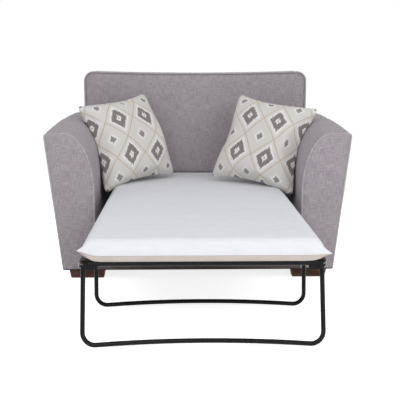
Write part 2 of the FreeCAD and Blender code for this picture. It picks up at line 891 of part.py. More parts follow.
def all_nodes():
    nodes = {}
    arm_pieces = {
        "arm_inner_pad": arm_inner_pad(),
        "arm_outer_panel": arm_outer_panel(),
        "arm_front_facing": arm_front_facing(),
        "arm_rear_board": arm_rear_board(),
        "arm_frame": arm_frame(),
        "front_foot": foot(foot_inset),
        "rear_foot": foot(back_foot_y),
        "front_base_bracket": base_bracket(front_pivot_y),
        "rear_base_bracket": base_bracket(rear_pivot_y),
    }
    for name, piece in arm_pieces.items():
        nodes["right_" + name] = piece
        nodes["left_" + name] = mirrored(piece)
    nodes["arm_bolts"] = arm_bolts()
    nodes["foot_bolts"] = both_sides(group(foot_bolt_shafts()))
    nodes["foot_glides"] = foot_glides()
    nodes["dust_cover"] = dust_cover()
    nodes["front_rail"] = front_rail()
    nodes["front_rail_cover"] = front_rail_cover()
    nodes["rear_rail"] = rear_rail()
    nodes["corner_blocks"] = corner_blocks()
    nodes["back_pad"] = back_pad()
    nodes["back_border"] = back_border()
    nodes["outside_back_panel"] = outside_back_panel()
    nodes["back_frame"] = back_frame()
    nodes["back_webbing"] = back_webbing()
    nodes["bracket_bolts"] = bracket_bolts()
    base_pins = [base_pivot_pin(y) for y in pivot_rows]
    nodes["base_pivot_pins"] = both_sides(group(base_pins))
    nodes["rear_swing_links"] = swing_links(rear_pivot_y, running_fit)
    nodes["front_swing_links"] = swing_links(front_pivot_y, open_pivot_fit)
    deck_pins = [deck_pivot_pin(y) for y in pivot_rows]
    nodes["deck_pivot_pins"] = both_sides(group(deck_pins))
    nodes["main_deck_frame"] = main_deck_frame()
    nodes["middle_deck_frame"] = middle_deck_frame()
    nodes["foot_deck_frame"] = foot_deck_frame()
    nodes["rear_hinge_pins"] = hinge_pins(first_hinge_y)
    nodes["front_hinge_pins"] = hinge_pins(second_hinge_y)
    bar = hinge_bar_offset
    nodes["main_sling"] = sling(first_hinge_y + bar, deck_head_y - deck_tube_radius)
    nodes["middle_sling"] = sling(second_hinge_y + bar, first_hinge_y - bar)
    nodes["foot_sling"] = sling(deck_front_y + deck_tube_radius, second_hinge_y - bar)
    nodes["front_leg"] = folding_leg(front_leg_y, front_leg_floor_y)
    nodes["rear_leg"] = folding_leg(rear_leg_y, rear_leg_floor_y)
    nodes["leg_bolts"] = leg_bolts()
    nodes["mattress_main"] = mattress_section(first_hinge_y, mattress_head_y)
    nodes["mattress_middle"] = mattress_section(second_hinge_y, first_hinge_y)
    nodes["mattress_foot"] = mattress_section(mattress_front_y, second_hinge_y)
    nodes["mattress_rear_fold"] = mattress_fold(first_hinge_y)
    nodes["mattress_front_fold"] = mattress_fold(second_hinge_y)
    left = scatter_cushion(left_cushion_tilt, left_corner_place, -1)
    right = scatter_cushion(right_cushion_tilt, right_corner_place, 1)
    nodes["left_scatter_cushion"] = left
    nodes["right_scatter_cushion"] = right
    return nodes


def export_all():
    os.makedirs("parts", exist_ok=True)
    for name, shape in all_nodes().items():
        placed = shape.copy()
        placed.translate(Vector(0, shift_y, 0))
        placed.exportStep("parts/" + name + ".step")


export_all()
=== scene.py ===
import math

import bmesh
import bpy
import numpy as np
from mathutils import Matrix, Vector
from mathutils.bvhtree import BVHTree
from mathutils.noise import noise


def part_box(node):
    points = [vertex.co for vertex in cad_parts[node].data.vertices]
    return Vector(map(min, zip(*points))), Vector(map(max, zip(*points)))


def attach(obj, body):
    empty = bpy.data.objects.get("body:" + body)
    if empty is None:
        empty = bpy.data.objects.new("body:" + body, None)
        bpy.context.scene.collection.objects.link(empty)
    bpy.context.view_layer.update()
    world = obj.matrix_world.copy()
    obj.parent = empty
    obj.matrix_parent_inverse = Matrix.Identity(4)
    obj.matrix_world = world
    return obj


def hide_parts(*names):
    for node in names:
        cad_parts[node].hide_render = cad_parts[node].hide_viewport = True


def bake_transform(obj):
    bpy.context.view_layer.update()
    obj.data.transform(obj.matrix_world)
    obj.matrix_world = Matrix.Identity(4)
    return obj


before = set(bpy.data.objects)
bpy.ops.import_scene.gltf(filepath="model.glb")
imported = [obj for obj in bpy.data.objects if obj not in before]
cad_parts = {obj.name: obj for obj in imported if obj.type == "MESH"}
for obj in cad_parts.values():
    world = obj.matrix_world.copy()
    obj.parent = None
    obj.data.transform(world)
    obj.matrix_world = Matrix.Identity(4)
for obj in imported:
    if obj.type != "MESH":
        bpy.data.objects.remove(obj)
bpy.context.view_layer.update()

# Camera, in metres, with its lens and sensor in millimetres
CAMERA_PLACE = Vector((-0.0692, -3.6179, 0.9739))
CAMERA_AIM = Vector((0.0211, 0.9858, -0.1668))
LENS_MM = 72.47
SENSOR_MM = 36.0

# Places read from the frame
PAD_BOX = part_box("right_arm_inner_pad")
FACING_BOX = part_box("right_arm_front_facing")
ARM_INNER_X = PAD_BOX[0].x
ARM_CORNER_X = PAD_BOX[1].x
ARM_OUTER_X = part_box("dust_cover")[1].x
ARM_FRONT_Y = FACING_BOX[0].y
ARM_FACING_Y = FACING_BOX[1].y
ARM_REAR_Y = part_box("right_arm_rear_board")[1].y
ARM_FRONT_Z = FACING_BOX[1].z
ARM_REAR_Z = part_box("right_arm_rear_board")[1].z
BASE_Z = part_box("front_rail")[0].z
BACK_LOW, BACK_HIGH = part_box("back_pad")
BACK_HALF = BACK_HIGH.x
BACK_TOP = BACK_HIGH.z
PAD_REAR_Y = BACK_HIGH.y
BACK_FACE_Y = ARM_REAR_Y
BACK_REAR_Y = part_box("outside_back_panel")[1].y
MATTRESS_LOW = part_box("mattress_foot")[0]
MATTRESS_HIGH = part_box("mattress_main")[1]
MATTRESS_HALF = MATTRESS_HIGH.x
FIRST_HINGE = sum(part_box("rear_hinge_pins"), Vector()) / 2
DECK_Z = FIRST_HINGE.z
FIRST_HINGE_Y = FIRST_HINGE.y
SECOND_HINGE_Y = sum(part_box("front_hinge_pins"), Vector()).y / 2
SPLIT_Y = (FIRST_HINGE_Y + SECOND_HINGE_Y) / 2

# Arms and back, in metres
ROLL_WIDTH = 0.128
ROLL_HEIGHT = 0.265
ARM_EDGE_RADIUS = 0.010
ARM_REAR_EDGE_RADIUS = 0.055
ARM_REAR_ROUND = 0.012
ARM_REAR_SINK = 0.010
ARM_TUCK = 0.008
TUCK_REACH = 0.006
ARM_FILL = 0.004
ARM_SET_IN = 0.001
COVER_LAP = 0.006
SECTION_POINTS = 110
EDGE_STEPS = np.array((0, 0.002, 0.005, 0.010, 0.018, 0.030, 0.045))
PIPING_RADIUS = 0.0044
PIPING_VALLEY = 0.0050
PIPING_SPREAD = 0.010
PIPING_SET_BACK = 0.0065
FACING_INSETS = (0.0, 0.0015, 0.004, 0.008, 0.014, 0.024, 0.040, 0.060)
FACING_SWELL = 0.004
SPINE_FOOT = 0.06
SPINE_HEAD = 0.07
SPINE_OUT = 0.012
SPINE_LEAN = 0.12
BACK_CORNER_RADIUS = 0.047
BACK_DIP = 0.009
BACK_CROWN = BACK_FACE_Y - BACK_LOW.y
PAD_BOTTOM_Z = MATTRESS_HIGH.z + 0.0002
PANEL_INSET = 0.001
PANEL_VALLEY = 1.4
PANEL_CROWN = 0.002
BAND_SET_IN = 0.003
BAND_STEPS = np.array((0, 0.003, 0.008, 0.016, 0.028))
RAIL_CORNER = 0.009

# Mattress, in metres
MATTRESS_SIDE_IN = 0.011
MATTRESS_END_IN = 0.004
BORDER_HEIGHT = 0.020
FRONT_OVERHANG = 0.0045
OVERHANG_REACH = 0.003
LEFT_EAR_LIFT = 0.017
RIGHT_EAR_LIFT = 0.003
EAR_REACH = 0.034
EAR_WIDTH = 0.028
EAR_DRAW = 0.022
EAR_UNDERCUT = 0.009
RIGHT_EAR_MORE = 0.010
FOOT_ROLL = 0.036
HEAD_ROLL = 0.016
SIDE_ROLL = 0.040
FOOT_ROUND = 0.004
HEAD_ROUND = 0.012
SIDE_ROUND = 0.020
HINGE_ARCH = 0.010
HINGE_ARCH_REACH = 0.055
MATTRESS_PIPING = 0.0021
MATTRESS_STEP = 0.012
SEAM_STAND = 0.0006
END_STEPS = np.array((0, 0.0005, 0.0012, 0.0021, 0.0031, 0.0042, 0.0054, 0.0068, 0.0085, 0.011,
                      0.015, 0.020, 0.028, 0.036, 0.048, 0.062))
SIDE_BAND = 0.08
SIDE_STEPS = np.array((0, 0.0008, 0.0025, 0.005, 0.009, 0.014, 0.020, 0.028, 0.036, 0.048, 0.062))
SEAM_STEPS = np.array((0.0, 0.0015, 0.004, 0.008, 0.014, 0.022, 0.032, 0.045))

# Scatter cushions
CUSHION_CELLS = 46
CUSHION_SHEET = 0.46
CUSHION_LOFT = 0.012
CUSHION_FRAMES = 26
CUSHION_CLOTH = {"quality": 8, "mass": 0.15, "tension_stiffness": 40.0, "compression_stiffness": 40.0,
                 "shear_stiffness": 6.0, "bending_stiffness": 0.8, "air_damping": 2.0,
                 "use_pressure": True, "uniform_pressure_force": 3.2}
CUSHION_REACH = 1.045
CUSHION_SMOOTHING = 3
CUSHION_CLEARANCE = 0.0012
SEAM_DRAW_ENDS = 0.135
SEAM_DRAW_SIDES = 0.125
SEAM_BOW = 0.85
SEAM_ROUNDS = 9
SEAM_SLOPE = 0.45
SEAM_FLATTEN = 0.4
CLEAR_SEARCH = 0.09
TIP_REACH = 0.09
LOW_TIP_SHIFT = (0.016, -0.003, -0.012)
HIGH_TIP_SHIFT = (-0.002, 0.0, -0.013)

# Slings, dust cloth, back straps and the deck's front corner plates, in metres
SLING_SAG = 0.0002
CLOTH_GAP = 0.0002
STRAP_WIDTH = 0.060
STRAP_COUNT = 5
STRAP_SET_IN = 0.0003
PLATE_WIDTH = 0.052
PLATE_HEIGHT = 0.015
PLATE_IN = 0.022
PLATE_ROUND = 0.005
PLATE_LOW_IN = 0.007
PLATE_TOP_DROP = 0.003
PLATE_SINK = 0.0008
PLATE_RINGS = ((1.0, 1.0, -0.0030), (1.0, 1.0, 0.0012), (0.97, 0.91, 0.0020))
BOLT_RADIUS = 0.0048
BOLT_PLACES = (0.012, 0.039)
BOLT_OUT = 0.0010
BOLT_DROP = 0.002
BOLT_SIDES = 20
BOLT_RINGS = ((1.5, 1.5, 0.0), (1.5, 1.5, 0.0008), (1.0, 1.0, 0.0009), (1.0, 1.0, 0.0022),
              (0.75, 0.75, 0.0032), (0.35, 0.35, 0.0036))

# Lamps and floor
KEY_LAMP = ((-1.3, -3.9, 3.2), (0, -0.2, 0.4), 2.6, 56.0)
FILL_LAMP = ((2.0, -3.4, 2.0), (0, 0, 0.4), 2.4, 44.0)
WORLD_COLOUR = (0.97, 0.98, 1.0, 1.0)
WORLD_LIGHT = 0.64
FLOOR_TONES = ((0.90, 0.90, 0.90), (0.93, 0.93, 0.93))
FLOOR_GLOW = 0.80
FLOOR_HALF = 30.0
FLOOR_FADE = (1.3, 2.6)
WHITE = (1.0, 1.0, 1.0, 1.0)


# Mesh helpers
def mesh_piece(name, points, faces, uvs=None, materials=(), face_slots=None, smooth=True):
    mesh = bpy.data.meshes.new(name)
    mesh.from_pydata([tuple(map(float, p)) for p in points], [], [tuple(map(int, f)) for f in faces])
    mesh.validate()
    if uvs is not None:
        layer = mesh.uv_layers.new(name="weave")
        corner = np.zeros(len(mesh.loops), np.int32)
        mesh.loops.foreach_get("vertex_index", corner)
        layer.data.foreach_set("uv", np.asarray(uvs, np.float32)[corner].ravel())
    for material in materials:
        mesh.materials.append(material)
    if face_slots is not None:
        mesh.polygons.foreach_set("material_index", np.asarray(face_slots, np.int32))
    mesh.polygons.foreach_set("use_smooth", [smooth] * len(mesh.polygons))
    mesh.update()
    piece = bpy.data.objects.new(name, mesh)
    bpy.context.scene.collection.objects.link(piece)
    return piece


def belong(piece, body, slot, *nodes):
    """Let a piece stand for CAD nodes and move with a body; the slot is not used."""
    if nodes:
        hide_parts(*nodes)
    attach(piece, body)


def cover(piece, *nodes):
    belong(piece, "sofa_base", "upholstery_fabric", *nodes)


def face_away(piece, inside):
    """Turn a piece's faces so that most of them look away from a point."""
    away = 0.0
    for face in piece.data.polygons:
        away += face.area * face.normal.dot((face.center - Vector(inside)).normalized())
    if away < 0:
        piece.data.flip_normals()


def turned(faces):
    """The same faces, looking the other way."""
    return [face[::-1] for face in faces]


def grid_faces(rows, columns, start=0):
    """Faces of a grid of points, given row by row."""
    faces = []
    for i in range(rows - 1):
        for j in range(columns - 1):
            a = start + i * columns + j
            faces.append((a, a + 1, a + columns + 1, a + columns))
    return faces


def ring_faces(rings, count):
    """Faces between closed rings of points."""
    faces = []
    for i in range(rings - 1):
        for k in range(count):
            a = i * count + k
            b = i * count + (k + 1) % count
            faces.append((a, b, b + count, a + count))
    return faces


def end_caps(rings, count):
    last = (rings - 1) * count
    return [tuple(range(count))[::-1], tuple(range(last, last + count))]


def two_layers(name, face, back, rows, columns, material, up=1, rim=()):
    """A sheet from the points of its two faces, closed along a rim where that is given."""
    points = face + back
    count = len(face)
    faces = grid_faces(rows, columns) + turned(grid_faces(rows, columns, count))
    for a, b in zip(rim, np.roll(rim, -1)):
        faces.append((a, a + count, b + count, b))
    return mesh_piece(name, points, faces, [(p[0], p[up]) for p in points], [material])


def arc_length(points):
    steps = np.linalg.norm(np.diff(points, axis=0), axis=1)
    return np.concatenate([[0.0], np.cumsum(steps)])


def spaced(points, count):
    """That many points at even distances along a line, with their lengths."""
    length = arc_length(points)
    at = np.linspace(0, length[-1], count)
    return np.stack([np.interp(at, length, points[:, k]) for k in range(points.shape[1])], axis=1), at


def resample(points, step):
    return spaced(points, max(2, int(round(arc_length(points)[-1] / step)) + 1))[0]


def fillet(corner, before, after, radius, count=6):
    """Points that round a corner between two straight runs."""
    a = (before - corner) / np.linalg.norm(before - corner)
    b = (after - corner) / np.linalg.norm(after - corner)
    half = math.acos(float(np.clip(a @ b, -1, 1))) / 2
    reach = radius / math.tan(half)
    centre = corner + (a + b) / np.linalg.norm(a + b) * radius / math.sin(half)
    start = corner + a * reach - centre
    end = corner + b * reach - centre
    turn = math.acos(float(np.clip(start @ end / radius ** 2, -1, 1)))
    out = []
    for k in range(count + 1):
        t = k / count
        out.append(centre + (math.sin((1 - t) * turn) * start + math.sin(t * turn) * end) / math.sin(turn))
    return out


def outward(points):
    """Unit normals of a flat outline, to the left of its direction."""
    tangent = np.gradient(points, axis=0)
    tangent /= np.linalg.norm(tangent, axis=1)[:, None] + 1e-12
    return np.stack([-tangent[:, 1], tangent[:, 0]], axis=1)


def tube_piece(name, path, radius, material, sides=10, step=0.008):
    path = resample(np.asarray(path, float), step)
    tangent = np.gradient(path, axis=0)
    tangent /= np.linalg.norm(tangent, axis=1)[:, None]
    side = np.cross(tangent[0], (0.3, 0.2, 0.93))
    points = []
    uvs = []
    for centre, ahead, length in zip(path, tangent, arc_length(path)):
        side = side - ahead * (side @ ahead)
        side /= np.linalg.norm(side)
        up = np.cross(ahead, side)
        for k in range(sides):
            angle = 2 * math.pi * k / sides
            points.append(centre + radius * (math.cos(angle) * side + math.sin(angle) * up))
            uvs.append((length, radius * angle))
    faces = ring_faces(len(path), sides) + end_caps(len(path), sides)
    return mesh_piece(name, points, faces, uvs, [material])


def swept(outline, stations, stand):
    """An outline carried along stations and moved off itself: station, point and distance along it."""
    rows = []
    for station in stations:
        for base, normal, at in zip(outline, outward(outline), arc_length(outline)):
            a, b = base + normal * stand(station, base)
            rows.append((station, a, b, at))
    return rows


def smooth_step(t):
    t = min(1.0, max(0.0, t))
    return t * t * (3 - 2 * t)


def ripple(x, y, z, scale, seed=0.0):
    return noise(Vector((x / scale + seed, y / scale - seed, z / scale + 2 * seed)))


# Node helpers
class Tree:
    def __init__(self, tree):
        self.tree = tree
        self.tree.nodes.clear()

    def add(self, kind, **settings):
        node = self.tree.nodes.new(kind)
        for key, value in settings.items():
            setattr(node, key, value)
        return node

    def link(self, a, b):
        self.tree.links.new(a, b)

    def fill(self, node, values):
        for key, value in values.items():
            if isinstance(value, (int, float, tuple)):
                node.inputs[key].default_value = value
            else:
                self.link(value, node.inputs[key])
        return node

    def math(self, operation, a, b=0.0, clamp=False):
        node = self.add("ShaderNodeMath", operation=operation, use_clamp=clamp)
        return self.fill(node, {0: a, 1: b}).outputs[0]

    def plus(self, a, b):
        return self.math("ADD", a, b)

    def minus(self, a, b):
        return self.math("SUBTRACT", a, b)

    def times(self, a, b):
        return self.math("MULTIPLY", a, b)

    def light(self, kind, colour, strength):
        return self.fill(self.add(kind), {"Color": colour, "Strength": strength}).outputs[0]

    def mix_shader(self, share, a, b):
        return self.fill(self.add("ShaderNodeMixShader"), {0: share, 1: a, 2: b}).outputs[0]

    def seen(self):
        """1 for straight and mirrored rays, with the light path's outputs."""
        path = self.add("ShaderNodeLightPath").outputs
        return self.math("MAXIMUM", path["Is Camera Ray"], path["Is Glossy Ray"]), path


class Nodes(Tree):
    def __init__(self, name):
        self.material = bpy.data.materials.new(name)
        self.material.use_nodes = True
        super().__init__(self.material.node_tree)
        self.out = self.add("ShaderNodeOutputMaterial")
        self.shader = self.add("ShaderNodeBsdfPrincipled")
        self.link(self.shader.outputs[0], self.out.inputs["Surface"])

    def set(self, **values):
        self.fill(self.shader, {key.replace("_", " "): value for key, value in values.items()})

    def uv(self):
        return self.add("ShaderNodeUVMap", uv_map="weave").outputs[0]

    def place(self):
        return self.add("ShaderNodeTexCoord").outputs["Object"]

    def noise(self, vector, scale=1.0, detail=2.0, rough=0.5, distortion=0.0):
        values = {"Scale": scale, "Detail": detail, "Roughness": rough, "Distortion": distortion,
                  "Vector": vector}
        return self.fill(self.add("ShaderNodeTexNoise"), values).outputs["Fac"]

    def streaks(self, vector, scales, detail=2.0, rough=0.5, distortion=0.0):
        """Noise with its own scale along each axis."""
        scaled = self.fill(self.add("ShaderNodeMapping"), {"Scale": scales, "Vector": vector}).outputs[0]
        return self.noise(scaled, 1.0, detail, rough, distortion)

    def spread(self, value, low, high, to_low=0.0, to_high=1.0):
        values = {"Value": value, "From Min": low, "From Max": high, "To Min": to_low, "To Max": to_high}
        return self.fill(self.add("ShaderNodeMapRange"), values).outputs[0]

    def mix(self, factor, a, b):
        node = self.add("ShaderNodeMix", data_type="RGBA")
        sockets = {key: (*value, 1.0) if isinstance(value, tuple) else value
                   for key, value in ((0, factor), (6, a), (7, b))}
        return self.fill(node, sockets).outputs[2]

    def split(self, vector):
        return self.fill(self.add("ShaderNodeSeparateXYZ"), {0: vector}).outputs

    def finish(self, colour, roughness, height, strength, distance, specular=0.5, sheen=0.0):
        """Give the surface its colour, gloss, relief and sheen."""
        values = {"Strength": strength, "Distance": distance, "Height": height}
        normal = self.fill(self.add("ShaderNodeBump"), values).outputs[0]
        self.set(Base_Color=colour, Roughness=roughness, Specular_IOR_Level=specular, Sheen_Weight=sheen,
                 Sheen_Roughness=0.5, Normal=normal)
        return self.material

    def weave(self, vector, pitch):
        """Height of a plain weave of that pitch in metres."""
        parts = self.split(vector)
        turn = math.pi / pitch
        a = self.math("SINE", self.times(parts[0], turn))
        b = self.math("SINE", self.times(parts[1], turn))
        return self.math("ABSOLUTE", self.times(a, b))


# Materials
def linen(name, dark, middle, light, pitch=0.0016):
    """Slubbed plain weave: long uneven threads both ways over a heathered ground."""
    n = Nodes(name)
    uv = n.uv()
    across = n.streaks(uv, (26.0, 420.0, 1.0), 2.0, 0.6)
    along = n.streaks(uv, (420.0, 26.0, 1.0), 2.0, 0.6)
    heather = n.streaks(uv, (600.0, 600.0, 1.0), 1.0)
    cloudy = n.streaks(uv, (9.0, 9.0, 1.0), 3.0, 0.55)
    threads = n.plus(n.times(across, 0.5), n.times(along, 0.5))
    tone = n.plus(n.times(threads, 0.75), n.times(heather, 0.25))
    tone = n.plus(tone, n.times(n.minus(cloudy, 0.5), 0.045))
    share = n.spread(tone, 0.385, 0.615)
    low = n.mix(n.spread(share, 0.0, 0.5), dark, middle)
    colour = n.mix(n.spread(share, 0.5, 1.0), low, light)
    height = n.plus(n.weave(uv, pitch), n.times(threads, 1.6))
    return n.finish(colour, 0.92, height, 0.45, 0.0006, specular=0.2, sheen=0.18)


def ticking(name, colour, shade, pitch=0.0012):
    """Smooth pale mattress cloth with a faint rib and tiny tonal clouds."""
    n = Nodes(name)
    uv = n.uv()
    cloudy = n.streaks(uv, (14.0, 40.0, 1.0), 3.0)
    threads = n.streaks(uv, (60.0, 700.0, 1.0), 1.0)
    tone = n.plus(n.times(cloudy, 0.6), n.times(threads, 0.4))
    colour = n.mix(n.spread(tone, 0.36, 0.62), shade, colour)
    height = n.plus(n.weave(uv, pitch), cloudy)
    return n.finish(colour, 0.88, height, 0.25, 0.0005, specular=0.25, sheen=0.08)


def webbing(name, colour, light, pitch=0.0022):
    """Coarse woven tape, painted paler where the threads stand up: painted highlight on the raised threads,
    painted shade between them.
    """
    n = Nodes(name)
    uv = n.uv()
    weave = n.weave(uv, pitch)
    fibres = n.streaks(uv, (120.0, 900.0, 1.0), 1.0)
    # Painted highlight and shade: the colour follows the weave's relief.
    colour = n.mix(n.times(weave, fibres), colour, light)
    return n.finish(colour, 0.62, weave, 0.7, 0.0008, specular=0.35, sheen=0.05)


def enamel(name, colour, roughness):
    """Gloss stoved paint with slight orange peel and dust-fine wear."""
    n = Nodes(name)
    place = n.place()
    patches = n.noise(place, 35.0, 3.0, 0.6)
    lighter = tuple(c * 1.5 + 0.001 for c in colour)
    colour = n.mix(n.spread(patches, 0.35, 0.75), colour, lighter)
    gloss = n.spread(patches, 0.3, 0.7, roughness * 0.8, roughness * 1.35)
    return n.finish(colour, gloss, n.noise(place, 260.0), 0.12, 0.0004, specular=0.14)


def plated(name, colour, roughness):
    """Brushed zinc with cloudy tone."""
    n = Nodes(name)
    place = n.place()
    brushed = n.streaks(place, (40.0, 900.0, 900.0), 2.0, 0.6)
    clouds = n.noise(place, 60.0, 3.0, 0.6)
    darker = tuple(c * 0.6 for c in colour)
    colour = n.mix(n.spread(clouds, 0.3, 0.7), darker, colour)
    gloss = n.spread(brushed, 0.3, 0.7, roughness * 0.75, roughness * 1.3)
    n.set(Metallic=1.0)
    return n.finish(colour, gloss, brushed, 0.15, 0.0002)


def timber(name, dark, light, roughness):
    """Straight grained wood: long fibres along X, uneven rings and open pores."""
    n = Nodes(name)
    place = n.place()
    bend = n.streaks(place, (2.2, 9.0, 9.0), 2.0, 0.5, 0.6)
    rings = n.math("SINE", n.times(bend, 44.0))
    fibres = n.streaks(place, (14.0, 420.0, 420.0), 3.0, 0.6)
    pores = n.streaks(place, (60.0, 1500.0, 1500.0), 1.0)
    tone = n.plus(n.times(n.spread(rings, -1.0, 1.0), 0.45), n.times(fibres, 0.55))
    colour = n.mix(n.spread(tone, 0.25, 0.8), dark, light)
    gloss = n.spread(fibres, 0.3, 0.7, roughness * 0.85, roughness * 1.2)
    height = n.minus(fibres, n.spread(pores, 0.62, 0.72))
    return n.finish(colour, gloss, height, 0.25, 0.0004, specular=0.2)


def plastic(name, colour, roughness):
    """Moulded nylon with a fine grain."""
    n = Nodes(name)
    place = n.place()
    colour = n.mix(n.noise(place, 30.0), colour, tuple(c * 1.35 for c in colour))
    return n.finish(colour, roughness, n.noise(place, 900.0), 0.2, 0.0003, specular=0.4)


# Cushion print: repeat in metres and its colours
PRINT_WIDTH = 0.145
PRINT_HEIGHT = 0.170
PRINT_DIAMOND = 0.8
PRINT_LOZENGE = 0.9
PRINT_TRELLIS = 0.853
PRINT_WHITE = (0.86, 0.86, 0.86)
PRINT_TAN = (0.50, 0.36, 0.22)
PRINT_GROUND = ((0.62, 0.60, 0.57), (0.70, 0.685, 0.655))
PRINT_BROWN = ((0.12, 0.10, 0.095), (0.24, 0.205, 0.195))


def print_cloth(name):
    """Off-white cotton printed with feathered diamonds, soft pale halos and a thin tan trellis."""
    n = Nodes(name)
    uv = n.uv()
    feather = n.streaks(uv, (420.0, 36.0, 1.0), 2.0, 0.6)
    wander = n.streaks(uv, (60.0, 60.0, 1.0))
    parts = n.split(uv)
    stray = n.times(n.minus(wander, 0.5), 0.006)
    u = n.plus(parts[0], stray)
    v = n.plus(parts[1], stray)
    ragged = n.plus(v, n.times(n.minus(feather, 0.5), 0.046))

    def folded(value, period, offset):
        moved = n.plus(n.math("DIVIDE", value, period), offset)
        return n.math("ABSOLUTE", n.minus(n.math("FRACT", moved), 0.5))

    def diamond(height, offset, stretch):
        a = n.times(folded(u, PRINT_WIDTH, offset), PRINT_WIDTH)
        b = n.times(folded(height, PRINT_HEIGHT, offset), PRINT_HEIGHT * stretch)
        return n.plus(a, b)

    def below(value, limit, share):
        return n.times(n.math("LESS_THAN", value, limit), share)

    big = diamond(ragged, 0.0, PRINT_DIAMOND)
    big_plain = diamond(v, 0.0, PRINT_DIAMOND)
    small = diamond(ragged, 0.5, PRINT_LOZENGE)
    small_plain = diamond(v, 0.5, PRINT_LOZENGE)
    trellis = n.math("ABSOLUTE", n.minus(diamond(v, 0.0, PRINT_TRELLIS), PRINT_WIDTH / 2))
    ring = n.times(n.math("GREATER_THAN", big, 0.0145), n.math("LESS_THAN", big, 0.041))
    brown = n.mix(n.spread(feather, 0.3, 0.7), *PRINT_BROWN)
    colour = n.mix(n.spread(n.streaks(uv, (500.0, 500.0, 1.0)), 0.35, 0.65), *PRINT_GROUND)
    colour = n.mix(n.spread(big_plain, 0.046, 0.058, 0.75, 0.0), colour, PRINT_WHITE)
    colour = n.mix(n.spread(small_plain, 0.022, 0.031, 0.7, 0.0), colour, PRINT_WHITE)
    colour = n.mix(below(trellis, 0.0022, 0.85), colour, PRINT_TAN)
    colour = n.mix(n.times(ring, 0.92), colour, brown)
    colour = n.mix(below(big_plain, 0.0045, 1.0), colour, PRINT_TAN)
    colour = n.mix(below(small, 0.017, 0.85), colour, brown)
    height = n.plus(n.weave(uv, 0.0011), feather)
    return n.finish(colour, 0.9, height, 0.3, 0.0004, specular=0.2, sheen=0.1)


UPHOLSTERY = linen("upholstery_linen", (0.248, 0.218, 0.235), (0.356, 0.317, 0.340),
                   (0.492, 0.450, 0.472))
# Painted highlight: the piping uses the upholstery linen painted lighter, so its rounded edge reads as lit.
PAINTED_HIGHLIGHT_PIPING = linen("piping_linen_painted_highlight", (0.31, 0.28, 0.30), (0.42, 0.39, 0.41), (0.55, 0.52, 0.54), 0.0012)
# Painted shade: the front rail's cover is linen painted dark to stand for the shade beneath the deck frame.
RAIL_PAINTED_SHADE_CLOTH = linen("rail_linen_painted_shade", (0.095, 0.073, 0.067), (0.14, 0.108, 0.099), (0.19, 0.150, 0.138))
TICKING = ticking("mattress_ticking", (0.775, 0.78, 0.805), (0.725, 0.73, 0.755))
BORDER = ticking("mattress_border", (0.60, 0.525, 0.485), (0.55, 0.48, 0.44))
PRINT = print_cloth("cushion_cotton")
# Each webbing's second colour is its painted highlight on the raised threads.
SLING = webbing("sling_cloth", (0.012, 0.012, 0.013), (0.06, 0.06, 0.065))
STRAP = webbing("strap_cloth", (0.09, 0.075, 0.055), (0.30, 0.26, 0.20))
DUST = webbing("dust_cloth", (0.008, 0.008, 0.008), (0.03, 0.03, 0.03), 0.004)
BLACK = enamel("black_gloss", (0.006, 0.006, 0.007), 0.22)
ZINC = plated("zinc_plate", (0.52, 0.53, 0.55), 0.34)
DARK_WOOD = timber("foot_wood", (0.046, 0.0185, 0.0105), (0.105, 0.052, 0.034), 0.5)
SOFTWOOD = timber("softwood", (0.44, 0.29, 0.15), (0.66, 0.49, 0.30), 0.7)
GLIDE = plastic("glide_nylon", (0.035, 0.030, 0.026), 0.5)

SIDES = (("left", -1), ("right", 1))
TUBE_NODES = ("main_deck_frame", "middle_deck_frame", "foot_deck_frame", "front_leg", "rear_leg")
TUBE_EDGE = math.radians(40)


def both(*names):
    return [side + "_" + name for name in names for side, sign in SIDES]


def dress(material, *names):
    for name in names:
        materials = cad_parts[name].data.materials
        materials.clear()
        materials.append(material)


def dress_frame_nodes():
    """Give the frame's own solids their materials, and the bent tubes a smooth surface."""
    dress(BLACK, *TUBE_NODES, "rear_swing_links", "front_swing_links",
          *both("front_base_bracket", "rear_base_bracket"))
    dress(ZINC, "arm_bolts", "foot_bolts", "bracket_bolts", "base_pivot_pins", "deck_pivot_pins",
          "rear_hinge_pins", "front_hinge_pins", "leg_bolts")
    dress(DARK_WOOD, *both("front_foot", "rear_foot"))
    dress(SOFTWOOD, "front_rail", "rear_rail", "corner_blocks", "back_frame", *both("arm_frame"))
    dress(GLIDE, "foot_glides")
    for name in TUBE_NODES:
        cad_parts[name].data.shade_smooth()
        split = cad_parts[name].modifiers.new("edges", "EDGE_SPLIT")
        split.split_angle = TUBE_EDGE


# Arms
def valley(edge):
    """How far cloth dips at a distance from a piped edge."""
    return PIPING_VALLEY * math.exp(-edge / PIPING_SPREAD)


def settled(edge, reach):
    """0 at an edge, rising to 1 further in."""
    return 1 - math.exp(-edge / reach)


def arm_rise(y):
    run = (y - ARM_FACING_Y) / (ARM_REAR_Y - ARM_FACING_Y)
    return (ARM_REAR_Z - ARM_FRONT_Z) * math.sin(math.pi / 2 * min(1.0, max(0.0, run)))


def arm_outline(rise=0.0, edge_radius=ARM_EDGE_RADIUS):
    """The right arm's section from its inner bottom edge, over the roll, to its outer bottom edge,
    with the distance of each point from the first."""
    top = ARM_FRONT_Z + rise
    centre = np.array((ARM_INNER_X + ROLL_WIDTH, top - ROLL_HEIGHT))
    outer_bottom = np.array((ARM_OUTER_X, BASE_Z))
    points = [np.array((ARM_INNER_X, BASE_Z))]
    for angle in np.linspace(0, math.pi / 2, 33):
        points.append(centre + np.array((-ROLL_WIDTH * math.cos(angle), ROLL_HEIGHT * math.sin(angle))))
    points += fillet(np.array((ARM_CORNER_X, top)), points[-1], outer_bottom, edge_radius, 10)
    points.append(outer_bottom)
    return spaced(np.array(points), SECTION_POINTS)


